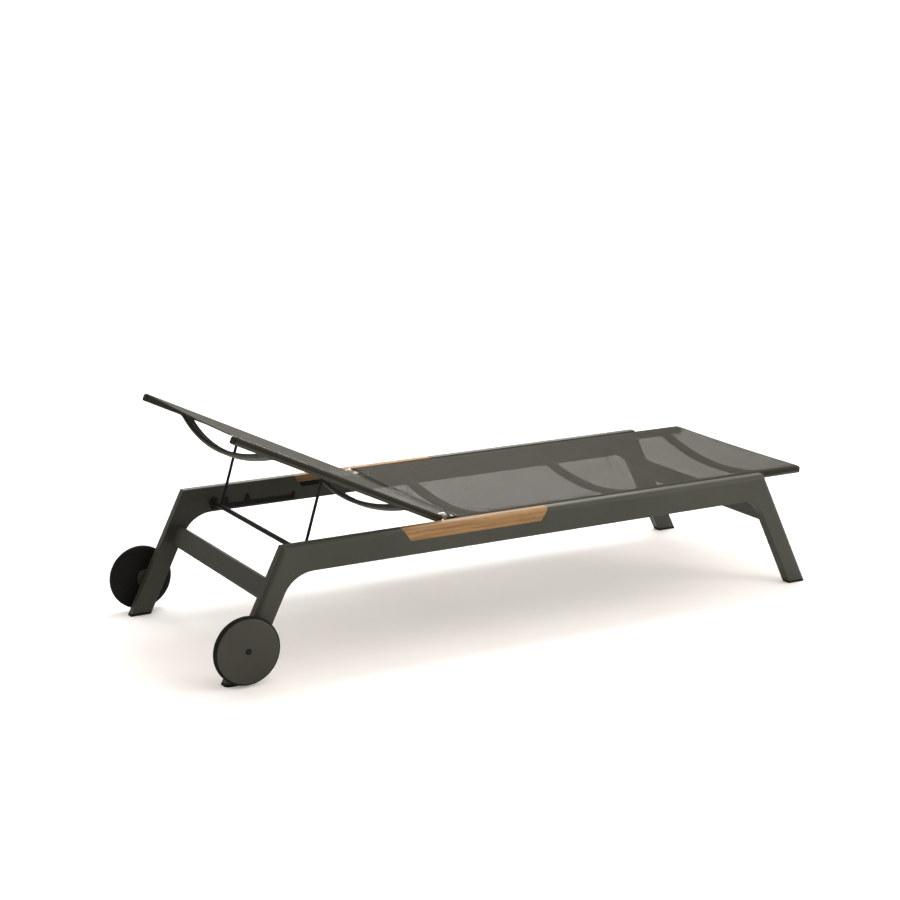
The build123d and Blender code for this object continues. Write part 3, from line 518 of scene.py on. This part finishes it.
# %% [markdown]
# ## The sling
# One length of mesh runs from the head of the back, over the hinge, to the foot of the seat. Its
# sides turn down over the side tubes, where a cord holds them. Between the two pairs of tubes the
# cloth is cut narrower and hangs a little, so that the back can fold. The piece is made as rows
# across the cloth: each row is placed on a centre line, and each column keeps its place along the
# row, so the cloth's own map in metres comes from the same two numbers.

# %% Sling measures
recline = next(joint for joint in frame["joints"] if joint["name"] == "recline")
HINGE = Vector(recline["pos_m"])
seat_tube_low, seat_tube_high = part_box("seat_tube_right")
seat_cloth_low, seat_cloth_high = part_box("seat_sling")
back_cloth_low, back_cloth_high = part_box("back_sling")

CLOTH_THICK = 0.0009
TUBE_CORNER = 0.006
TURN_DOWN = 0.003
SAG = 0.0022
NECK = 0.279
NECK_IN = 0.007
PUCKER_HIGH = 0.00035
PUCKER_LONG = 0.047
PUCKER_AT = 0.281
PUCKER_WIDE = 0.012
PUCKER_SHIFT = 1.7
MAP_SHIFT = 0.4
WRAP_GAP = 0.0004
rise = back_cloth_high.z - HINGE.z
run = HINGE.y - back_cloth_low.y
BACK_TILT = math.atan2(rise, run)
up_the_back = Vector((0, -math.cos(BACK_TILT), math.sin(BACK_TILT)))
off_the_back = Vector((0, math.sin(BACK_TILT), math.cos(BACK_TILT)))
back_top = math.hypot(rise, run)
NEAR_BACK = 0.0245
seat_start = seat_cloth_low.y
seat_end = seat_cloth_high.y
print("back tilt", round(math.degrees(BACK_TILT), 2), "back reaches", round(back_top, 4),
      "seat from", round(seat_start, 4), "to", round(seat_end, 4))

# %% Centre line
BACK_ROWS = 48
NECK_ROWS = 12
SEAT_ROWS = 84
LEAVES_BACK = 0.034
MEETS_SEAT = Vector((0, -0.012, -0.0085))


def bezier(start, after, before, end, t):
    s = 1 - t
    return start * s ** 3 + after * (3 * s * s * t) + before * (3 * s * t * t) + end * t ** 3


def centre_line():
    """Rows of (place, upward normal, kind) from the head of the back to the foot of the seat."""
    rows = []
    for i in range(BACK_ROWS + 1):
        along = back_top + (NEAR_BACK - back_top) * i / BACK_ROWS
        rows.append((HINGE + up_the_back * along, off_the_back, "back"))
    start = rows[-1][0]
    end = Vector((0, seat_start, HINGE.z))
    after = start - up_the_back * LEAVES_BACK
    before = end + MEETS_SEAT
    places = [bezier(start, after, before, end, i / NECK_ROWS) for i in range(NECK_ROWS + 1)]
    for i in range(1, NECK_ROWS):
        tangent = (places[i + 1] - places[i - 1]).normalized()
        rows.append((places[i], Vector((1, 0, 0)).cross(tangent), "neck"))
    for i in range(SEAT_ROWS + 1):
        y = seat_start + (seat_end - seat_start) * i / SEAT_ROWS
        rows.append((Vector((0, y, HINGE.z)), Vector((0, 0, 1)), "seat"))
    return rows


rows = centre_line()
print("rows across the cloth:", len(rows))

# %% [markdown]
# A column is a pair of numbers: how far out it lies, and how far it has turned down over the tube.
# The flat part has a slight sag, and small puckers beside the tubes, where the cloth is pulled
# tight. Rows in the neck have only the flat part, drawn in like the waist of an hourglass.

# %% Columns
tube_side = seat_tube_high.x
wrap_r = TUBE_CORNER + CLOTH_THICK * 0.5 + WRAP_GAP
turn_x = tube_side - TUBE_CORNER


FLAT_COLUMNS = 14
TUBE_COLUMNS = (0.285, 0.291, 0.299, 0.307, turn_x)
WRAP_STEPS = 6


def half_columns():
    """(distance out, drop, length of cloth so far) from the middle out."""
    found = [(NECK * i / FLAT_COLUMNS, 0.0, NECK * i / FLAT_COLUMNS)
             for i in range(FLAT_COLUMNS + 1)]
    found += [(x, 0.0, x) for x in TUBE_COLUMNS]
    for i in range(1, WRAP_STEPS + 1):
        angle = math.radians(90) * i / WRAP_STEPS
        found.append((turn_x + wrap_r * math.sin(angle), wrap_r * (1 - math.cos(angle)),
                      turn_x + wrap_r * angle))
    side_x = turn_x + wrap_r
    length = turn_x + wrap_r * math.radians(90) + TURN_DOWN
    found.append((side_x, wrap_r + TURN_DOWN, length))
    return found


right_half = half_columns()
left_half = [(-out, drop, -length) for out, drop, length in reversed(right_half[1:])]
columns = left_half + right_half


def cloth_point(row, column, along):
    """A point of the cloth, halfway through its thickness."""
    place, normal, kind = row
    out, drop, length = column
    flat = max(0.0, 1 - (out / NECK) ** 2)
    side = math.exp(-((abs(out) - PUCKER_AT) / PUCKER_WIDE) ** 2)
    shift = PUCKER_SHIFT if out > 0 else 0.0
    pucker = PUCKER_HIGH * side * math.sin(along * 2 * math.pi / PUCKER_LONG + shift)
    lift = -CLOTH_THICK / 2 - drop - SAG * flat + pucker
    return Vector((out, 0, 0)) + place + normal * lift


# %% Build the sling
def neck_width(index):
    """How far a neck row is drawn in, from none at either pair of tubes."""
    kinds = [row[2] for row in rows]
    first, last = kinds.index("neck"), kinds.index("seat") - 1
    share = (index - first + 1) / (last - first + 2)
    return 1 - NECK_IN / NECK * math.sin(math.pi * share)


cloth = bmesh.new()
cloth_map = cloth.loops.layers.uv.new("cloth")
along = 0.0
grid = []
lengths = []
for index, row in enumerate(rows):
    if index:
        along += (row[0] - rows[index - 1][0]).length
    lengths.append(along)
    narrow = neck_width(index) if row[2] == "neck" else 1.0
    line = []
    for out, drop, length in columns:
        flat_part = abs(out) <= NECK + 1e-6
        if row[2] == "neck" and not flat_part:
            line.append(None)
        else:
            line.append(cloth.verts.new(cloth_point(row, (out * narrow, drop, length), along)))
    grid.append(line)
for i in range(len(rows) - 1):
    for j in range(len(columns) - 1):
        quad = [grid[i][j], grid[i + 1][j], grid[i + 1][j + 1], grid[i][j + 1]]
        if None in quad:
            continue
        face = cloth.faces.new(quad)
        face.smooth = True
        marks = ((i, j), (i + 1, j), (i + 1, j + 1), (i, j + 1))
        for loop, (row_number, column_number) in zip(face.loops, marks):
            loop[cloth_map].uv = (columns[column_number][2] + MAP_SHIFT, lengths[row_number])
sling_mesh = bpy.data.meshes.new("sling")
cloth.normal_update()
if sum(f.normal.z for f in cloth.faces) < 0:
    bmesh.ops.reverse_faces(cloth, faces=cloth.faces[:])
cloth.to_mesh(sling_mesh)
cloth.free()
sling = new_object("sling", sling_mesh)

# %% [markdown]
# The cloth gets its real thickness from a Solidify modifier, which is applied, so that the closed
# sheet is what rides on the frame.

# %% Thicken the sling
def apply_modifiers(thing):
    """Makes the object's mesh what its modifiers show."""
    graph = bpy.context.evaluated_depsgraph_get()
    shown = bpy.data.meshes.new_from_object(thing.evaluated_get(graph))
    thing.modifiers.clear()
    thing.data = shown


solid = sling.modifiers.new("cloth thickness", "SOLIDIFY")
solid.thickness = CLOTH_THICK
solid.offset = 0.0
sling_mesh.materials.append(mesh_cloth)
apply_modifiers(sling)
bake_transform(sling)
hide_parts("seat_sling", "back_sling")
print("sling faces with thickness:", len(sling.data.polygons))

# %% [markdown]
# ## Edge cords, end hems and the neck seam
# A cord is sewn into each side of the cloth and sits below the tube's top corner, which stops the
# side from slipping back. The two ends are rolled hems, and a flat seam crosses the cloth where
# the seat begins. All are tubes swept along a line taken from the cloth itself, so they always
# lie on its edge. Their map is in metres too, because they are covered in the same yarn.

# %% Sweep helper
def swept(name, line, radius, material, squash=1.0, sides=10):
    """A closed tube along a line of points, with rounded-off ends and a cloth map."""
    build = bmesh.new()
    tape_map = build.loops.layers.uv.new("cloth")
    rings = []
    travelled = [0.0]
    for a, b in zip(line, line[1:]):
        travelled.append(travelled[-1] + (b - a).length)
    for i, place in enumerate(line):
        ahead = line[min(i + 1, len(line) - 1)]
        behind = line[max(i - 1, 0)]
        tangent = (ahead - behind).normalized()
        guide = Vector((0, 0, 1)) if abs(tangent.z) < 0.9 else Vector((0, 1, 0))
        side = tangent.cross(guide).normalized()
        lift = side.cross(tangent)
        taper = 0.55 if i in (0, len(line) - 1) else 1.0
        ring = []
        for k in range(sides):
            angle = 2 * math.pi * k / sides
            offset = side * (math.cos(angle) * radius) + lift * (math.sin(angle) * radius * squash)
            ring.append(build.verts.new(place + offset * taper))
        rings.append(ring)
    for i in range(len(rings) - 1):
        for k in range(sides):
            quad = [rings[i][k], rings[i][(k + 1) % sides], rings[i + 1][(k + 1) % sides],
                    rings[i + 1][k]]
            face = build.faces.new(quad)
            face.smooth = True
            turns = (k, k + 1, k + 1, k)
            steps = (i, i, i + 1, i + 1)
            for loop, turn_number, step in zip(face.loops, turns, steps):
                around = turn_number / sides * 2 * math.pi * radius
                loop[tape_map].uv = (around, travelled[step])
    build.faces.new(reversed(rings[0]))
    build.faces.new(rings[-1])
    bmesh.ops.recalc_face_normals(build, faces=build.faces[:])
    mesh = bpy.data.meshes.new(name)
    build.to_mesh(mesh)
    build.free()
    mesh.materials.append(material)
    return new_object(name, mesh)


# %% Cords and hems
CORD_R = 0.0016
HEM_R = 0.0017
SEAM_R = 0.0030
SEAM_FLAT = 0.30
HEM_HALF = 0.2905
HEM_STEPS = 40
SEAM_AT = 0.004
back_rows = [row for row in rows if row[2] == "back"]
seat_rows = [row for row in rows if row[2] == "seat"]
cord_out = columns[-1][0]
cord_drop = columns[-1][1] + CORD_R
for kind, kind_rows, body in (("back", back_rows, "backrest"), ("seat", seat_rows, "frame")):
    for side_name, sign in (("left", -1), ("right", 1)):
        cord_line = [place + normal * -cord_drop + Vector((sign * cord_out, 0, 0))
                     for place, normal, _ in kind_rows]
        cord = swept(f"edge_cord_{kind}_{side_name}", cord_line, CORD_R, edge_tape)
        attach(cord, body)

steps = [-HEM_HALF + 2 * HEM_HALF * i / HEM_STEPS for i in range(HEM_STEPS + 1)]


def hem_line(row, drop):
    place, normal, _ = row
    line = []
    for x in steps:
        sag = SAG * max(0.0, 1 - (x / NECK) ** 2)
        line.append(place + Vector((x, 0, 0)) + normal * -(drop + sag))
    return line


for hem_name, row, body in (("hem_head", rows[0], "backrest"), ("hem_foot", rows[-1], "frame")):
    hem = swept(hem_name, hem_line(row, HEM_R), HEM_R, edge_tape)
    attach(hem, body)

seam_row = (Vector((0, seat_start + SEAM_AT, HINGE.z)), Vector((0, 0, 1)), "seat")
seam = swept("seat_seam", hem_line(seam_row, 0.0), SEAM_R, edge_tape, squash=SEAM_FLAT)
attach(seam, "frame")

# %% [markdown]
# ## Small things that repeat along a path
# Stitches and weld ripples are the same idea: one small bead, set down again and again along a
# line. Geometry Nodes do this well. The tree below takes any line, spaces points along it, puts a
# stretched bead on each point in line with the path, and makes the result real geometry, because
# an exported model can't keep instances. A bead has few faces, as there are thousands of them.

# %% Geometry Nodes helpers
def geometry_tree(name, inputs):
    """A Geometry Nodes tree with named inputs (label, kind, value)."""
    made = bpy.data.node_groups.new(name, "GeometryNodeTree")
    made.interface.new_socket("Geometry", in_out="INPUT", socket_type="NodeSocketGeometry")
    for label, kind, value in inputs:
        socket = made.interface.new_socket(label, in_out="INPUT", socket_type=kind)
        if value is not None:
            socket.default_value = value
    made.interface.new_socket("Geometry", in_out="OUTPUT", socket_type="NodeSocketGeometry")
    return made, made.nodes.new("NodeGroupInput").outputs, made.nodes.new("NodeGroupOutput").inputs


def run_tree(thing, group, values, name):
    """Runs the tree on an object with these inputs, and returns the result as a plain mesh."""
    modifier = thing.modifiers.new("nodes", "NODES")
    modifier.node_group = group
    for item in group.interface.items_tree:
        if item.item_type == "SOCKET" and item.in_out == "INPUT" and item.name in values:
            modifier[item.identifier] = values[item.name]
    bpy.context.view_layer.update()
    graph = bpy.context.evaluated_depsgraph_get()
    mesh = bpy.data.meshes.new_from_object(thing.evaluated_get(graph))
    bpy.data.objects.remove(thing)
    mesh.name = name
    return new_object(name, mesh)


def lines_object(name, lines, closed=False):
    """An object that holds only lines, for a tree to follow."""
    points = [tuple(point) for line in lines for point in line]
    edges = []
    first = 0
    for line in lines:
        edges += [(first + i, first + i + 1) for i in range(len(line) - 1)]
        if closed:
            edges.append((first + len(line) - 1, first))
        first += len(line)
    mesh = bpy.data.meshes.new(name)
    mesh.from_pydata(points, edges, [])
    return new_object(name, mesh)


# %% Beads along a path
bead_tree, given, result = geometry_tree("beads_along_a_path", [
    ("Spacing", SCALE, 0.004), ("Bead length", SCALE, 0.003), ("Bead width", SCALE, 0.001),
    ("Unevenness", SCALE, 0.1), ("Seed", "NodeSocketInt", 3),
    ("Material", "NodeSocketMaterial", None)])
path = add(bead_tree, "GeometryNodeMeshToCurve", {"Mesh": given["Geometry"]})
spots = add(bead_tree, "GeometryNodeCurveToPoints",
            {"Curve": path.outputs["Curve"], "Length": given["Spacing"]}, mode="LENGTH")
bead = add(bead_tree, "GeometryNodeMeshUVSphere", {"Segments": 6, "Rings": 4, "Radius": 0.5})
size = add(bead_tree, "ShaderNodeCombineXYZ",
           {"X": given["Bead width"], "Y": given["Bead width"], "Z": given["Bead length"]})
low = math_node(bead_tree, "SUBTRACT", 1.0, given["Unevenness"])
high = math_node(bead_tree, "ADD", 1.0, given["Unevenness"])
wobble = add(bead_tree, "FunctionNodeRandomValue", {2: low, 3: high, "Seed": given["Seed"]},
             data_type="FLOAT")
sized = add(bead_tree, "ShaderNodeVectorMath",
            {0: size.outputs["Vector"], 3: wobble.outputs[1]}, operation="SCALE")
beads = add(bead_tree, "GeometryNodeInstanceOnPoints",
            {"Points": spots.outputs["Points"], "Instance": bead.outputs["Mesh"],
             "Rotation": spots.outputs["Rotation"], "Scale": sized.outputs["Vector"]})
real = add(bead_tree, "GeometryNodeRealizeInstances", {"Geometry": beads.outputs["Instances"]})
smooth = add(bead_tree, "GeometryNodeSetShadeSmooth", {"Geometry": real.outputs["Geometry"]})
painted = add(bead_tree, "GeometryNodeSetMaterial",
              {"Geometry": smooth.outputs["Geometry"], "Material": given["Material"]})
bead_tree.links.new(painted.outputs["Geometry"], result["Geometry"])
print("tree", bead_tree.name, len(bead_tree.nodes), "nodes")

# %% [markdown]
# ## Stitches
# Two rows of thread run along each side, just inside the tubes, and hold the cloth's doubled edge.
# One row crosses at each hem and two at the neck seam. A stitch is about four millimetres long and
# sits half sunk in the cloth, so only its upper half shows.

# %% Stitch lines
STITCH = {"Spacing": 0.0052, "Bead length": 0.0040, "Bead width": 0.0010, "Unevenness": 0.08,
          "Seed": 11, "Material": thread}
SIDE_ROWS = (0.2935, 0.2975)
END_ROW = 0.008
SEAM_ROWS = (-0.0016, 0.0016)
SEAM_LIFT = 0.0006


def side_stitches(kind_rows):
    return [[place + Vector((sign * x, 0, 0)) for place, normal, _ in kind_rows]
            for sign in (-1, 1) for x in SIDE_ROWS]


def cross_stitches(row, shift, lift=0.0):
    place, normal, _ = row
    tangent = Vector((1, 0, 0)).cross(normal)
    moved = (place + tangent * shift + normal * lift, normal, "")
    return hem_line(moved, 0.0)


back_lines = side_stitches(back_rows) + [cross_stitches(rows[0], -END_ROW)]
seat_lines = side_stitches(seat_rows) + [cross_stitches(rows[-1], END_ROW)]
seat_lines += [cross_stitches(seam_row, shift, SEAM_LIFT) for shift in SEAM_ROWS]
for name, lines, body in (("stitches_back", back_lines, "backrest"),
                          ("stitches_seat", seat_lines, "frame")):
    stitches = run_tree(lines_object(name + "_lines", lines), bead_tree, STITCH, name)
    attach(stitches, body)
    print(name, len(stitches.data.polygons), "faces")

# %% [markdown]
# ## Weld beads
# The crossbars are welded to the legs, and the ribs to the side tubes. A hand-laid weld is a row of
# overlapping ripples round the joint, painted over with the frame. The path of each bead is the
# outline of the bar or rib where it meets the other piece, found by cutting the CAD shape there,
# so the weld always fits.

# %% Outline of a piece near one of its ends
OUTLINE_STEP = 6


def merged_copy(node_name):
    """A bmesh copy of a CAD piece, with its loose triangles joined."""
    copy = bmesh.new()
    copy.from_mesh(nodes[node_name].data)
    bmesh.ops.remove_doubles(copy, verts=copy.verts[:], dist=1e-6)
    return copy


def outline_at(node_name, x):
    """The outer outline of a piece where a plane across X cuts it, in order round its middle."""
    copy = merged_copy(node_name)
    everything = copy.verts[:] + copy.edges[:] + copy.faces[:]
    cut = bmesh.ops.bisect_plane(copy, geom=everything, plane_co=(x, 0, 0), plane_no=(1, 0, 0))
    found = [part.co.copy() for part in cut["geom_cut"] if isinstance(part, bmesh.types.BMVert)]
    copy.free()
    middle = sum(found, Vector()) / len(found)
    by_angle = {}
    for point in found:
        arm = point - middle
        key = round(math.degrees(math.atan2(arm.z, arm.y)) / OUTLINE_STEP)
        if key not in by_angle or arm.length > (by_angle[key] - middle).length:
            by_angle[key] = point
    return [by_angle[key] for key in sorted(by_angle)]


def weld_paths(node_name, tube_x, back_from):
    """Two closed paths, one at each end of a bar or rib."""
    paths = []
    for sign in (-1, 1):
        outline = outline_at(node_name, sign * (tube_x - back_from))
        paths.append([Vector((sign * tube_x, point.y, point.z)) for point in outline])
    return paths


# %% Lay the welds
CUT_BEFORE_END = 0.0015
WELD = {"Spacing": 0.0017, "Bead length": 0.0032, "Bead width": 0.0046, "Unevenness": 0.12,
        "Seed": 5, "Material": frame_paint}
rail_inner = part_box("head_crossbar")[1].x
tube_inner = seat_tube_low.x
weld_jobs = {
    "welds_frame": ("frame", [("head_crossbar", rail_inner), ("foot_crossbar", rail_inner),
                              ("seat_rib_head", tube_inner), ("seat_rib_middle", tube_inner),
                              ("seat_rib_foot", tube_inner)]),
    "welds_back": ("backrest", [("back_rib_lower", tube_inner), ("back_rib_upper", tube_inner)]),
}
for name, (body, joints) in weld_jobs.items():
    paths = [path for piece, x in joints for path in weld_paths(piece, x, CUT_BEFORE_END)]
    welds = run_tree(lines_object(name + "_lines", paths, closed=True), bead_tree, WELD, name)
    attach(welds, body)
    print(name, len(paths), "beads,", len(welds.data.polygons), "faces")

# %% [markdown]
# ## Screws
# CAD gives each screw its place, length and head size, but a plain round head. Real ones are button
# heads with a hexagon socket. One head is modelled once, and a second tree sets it down on every
# screw, facing the way that screw faces and turned by a random amount, as screws end up. Where
# each screw sits is read from its CAD solid.

# %% One button head
HEAD_STEPS = ((1.0, 0.0), (1.0, 0.22), (0.97, 0.42), (0.84, 0.70), (0.66, 0.92), (0.56, 1.0))
SOCKET_RIM = 0.50
SOCKET_DEPTH = 0.42
HEAD_SIDES = 24


def button_head():
    """A button head of radius 1 and height 1 that stands on its base, with a hexagon socket."""
    build = bmesh.new()
    angles = [2 * math.pi * k / HEAD_SIDES for k in range(HEAD_SIDES)]
    rings = []
    for radius, high in HEAD_STEPS:
        rings.append([build.verts.new((radius * math.cos(a), radius * math.sin(a), high))
                      for a in angles])
    for high in (1.0, SOCKET_DEPTH):
        ring = []
        for a in angles:
            into_flat = (a % math.radians(60)) - math.radians(30)
            reach = SOCKET_RIM * math.cos(math.radians(30)) / math.cos(into_flat)
            ring.append(build.verts.new((reach * math.cos(a), reach * math.sin(a), high)))
        rings.append(ring)
    for ring, following in zip(rings, rings[1:]):
        for k in range(HEAD_SIDES):
            j = (k + 1) % HEAD_SIDES
            build.faces.new((ring[k], ring[j], following[j], following[k])).smooth = True
    build.faces.new(rings[-1])
    build.faces.new(list(reversed(rings[0])))
    bmesh.ops.recalc_face_normals(build, faces=build.faces[:])
    mesh = bpy.data.meshes.new("button_head")
    build.to_mesh(mesh)
    build.free()
    return new_object("button_head", mesh)


# %% Heads on points
head_tree, given, result = geometry_tree("heads_on_points", [
    ("Head", "NodeSocketObject", None), ("Seed", "NodeSocketInt", 4),
    ("Material", "NodeSocketMaterial", None)])
head = add(head_tree, "GeometryNodeObjectInfo", {"Object": given["Head"]})
facing = add(head_tree, "GeometryNodeInputNamedAttribute", {"Name": "facing"},
             data_type="FLOAT_VECTOR").outputs["Attribute"]
shape = add(head_tree, "GeometryNodeInputNamedAttribute", {"Name": "head_size"},
            data_type="FLOAT_VECTOR").outputs["Attribute"]
aligned = add(head_tree, "FunctionNodeAlignRotationToVector", {"Vector": facing}, axis="Z")
turn = add(head_tree, "FunctionNodeRandomValue", {2: 0.0, 3: 2 * math.pi, "Seed": given["Seed"]},
           data_type="FLOAT")
spin = add(head_tree, "FunctionNodeAxisAngleToRotation",
           {"Axis": (0, 0, 1), "Angle": turn.outputs[1]})
rotation = add(head_tree, "FunctionNodeRotateRotation",
               {"Rotation": aligned.outputs["Rotation"], "Rotate By": spin.outputs["Rotation"]},
               rotation_space="LOCAL")
heads = add(head_tree, "GeometryNodeInstanceOnPoints",
            {"Points": given["Geometry"], "Instance": head.outputs["Geometry"],
             "Rotation": rotation.outputs["Rotation"], "Scale": shape})
real = add(head_tree, "GeometryNodeRealizeInstances", {"Geometry": heads.outputs["Instances"]})
painted = add(head_tree, "GeometryNodeSetMaterial",
              {"Geometry": real.outputs["Geometry"], "Material": given["Material"]})
head_tree.links.new(painted.outputs["Geometry"], result["Geometry"])
print("tree", head_tree.name, len(head_tree.nodes), "nodes")

# %% Read the screws and set the heads
WIDEST = 0.93


def islands(copy):
    """The separate solids of a merged copy, as lists of points."""
    left = set(copy.verts)
    while left:
        group = []
        queue = [left.pop()]
        while queue:
            vertex = queue.pop()
            group.append(vertex.co.copy())
            for link in vertex.link_edges:
                other = link.other_vert(vertex)
                if other in left:
                    left.remove(other)
                    queue.append(other)
        yield group


def screw_spots(node_name, outward):
    """(base of head, facing, radius, height) of each screw, whose axis lies along X.

    The base is where the widest ring of points begins, just past the shank.
    """
    copy = merged_copy(node_name)
    spots = []
    for group in islands(copy):
        low = Vector([min(point[i] for point in group) for i in range(3)])
        high = Vector([max(point[i] for point in group) for i in range(3)])
        side = 1 if low.x + high.x > 0 else -1
        face = side if outward else -side
        radius = (high.y - low.y) / 2
        tip = high.x if face > 0 else low.x
        middle = (low + high) / 2
        wide = [point.x for point in group
                if math.hypot(point.y - middle.y, point.z - middle.z) > WIDEST * radius]
        base = min(wide) if face > 0 else max(wide)
        spots.append((Vector((base, middle.y, middle.z)), Vector((face, 0, 0)), radius,
                      abs(tip - base)))
    copy.free()
    return spots


SCREW_JOBS = (("bracket_screws", "frame", False, stay_paint, "stay_paint"),
              ("rack_screws", "frame", False, stay_paint, "stay_paint"),
              ("insert_screws", "frame", False, stay_paint, "stay_paint"),
              ("wheel_bracket_bolts", "frame", True, stay_paint, "stay_paint"),
              ("seat_hinge_bolts", "frame", False, stainless, "stainless"),
              ("back_hinge_bolts", "backrest", False, stainless, "stainless"))
head_pattern = button_head()
for node_name, body, outward, material, slot in SCREW_JOBS:
    spots = screw_spots(node_name, outward)
    points = bpy.data.meshes.new(node_name + "_points")
    points.from_pydata([spot[0] for spot in spots], [], [])
    facings = points.attributes.new("facing", "FLOAT_VECTOR", "POINT")
    sizes = points.attributes.new("head_size", "FLOAT_VECTOR", "POINT")
    for i, (_, face, radius, high) in enumerate(spots):
        facings.data[i].vector = face
        sizes.data[i].vector = (radius, radius, high)
    inputs = {"Head": head_pattern, "Seed": 7, "Material": material}
    heads = run_tree(new_object(node_name + "_points", points), head_tree, inputs,
                     node_name + "_heads")
    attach(heads, body)
    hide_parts(node_name)
    print(node_name, len(spots), "heads, radius", round(spots[0][2] * 1000, 2), "mm, height",
          round(spots[0][3] * 1000, 2), "mm")
bpy.data.objects.remove(head_pattern)

# %% Sizes
visual_low, visual_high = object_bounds()
sizes = {"cad": [list(cad_low), list(cad_high)], "visual": [list(visual_low), list(visual_high)]}
print("sizes:", sizes)
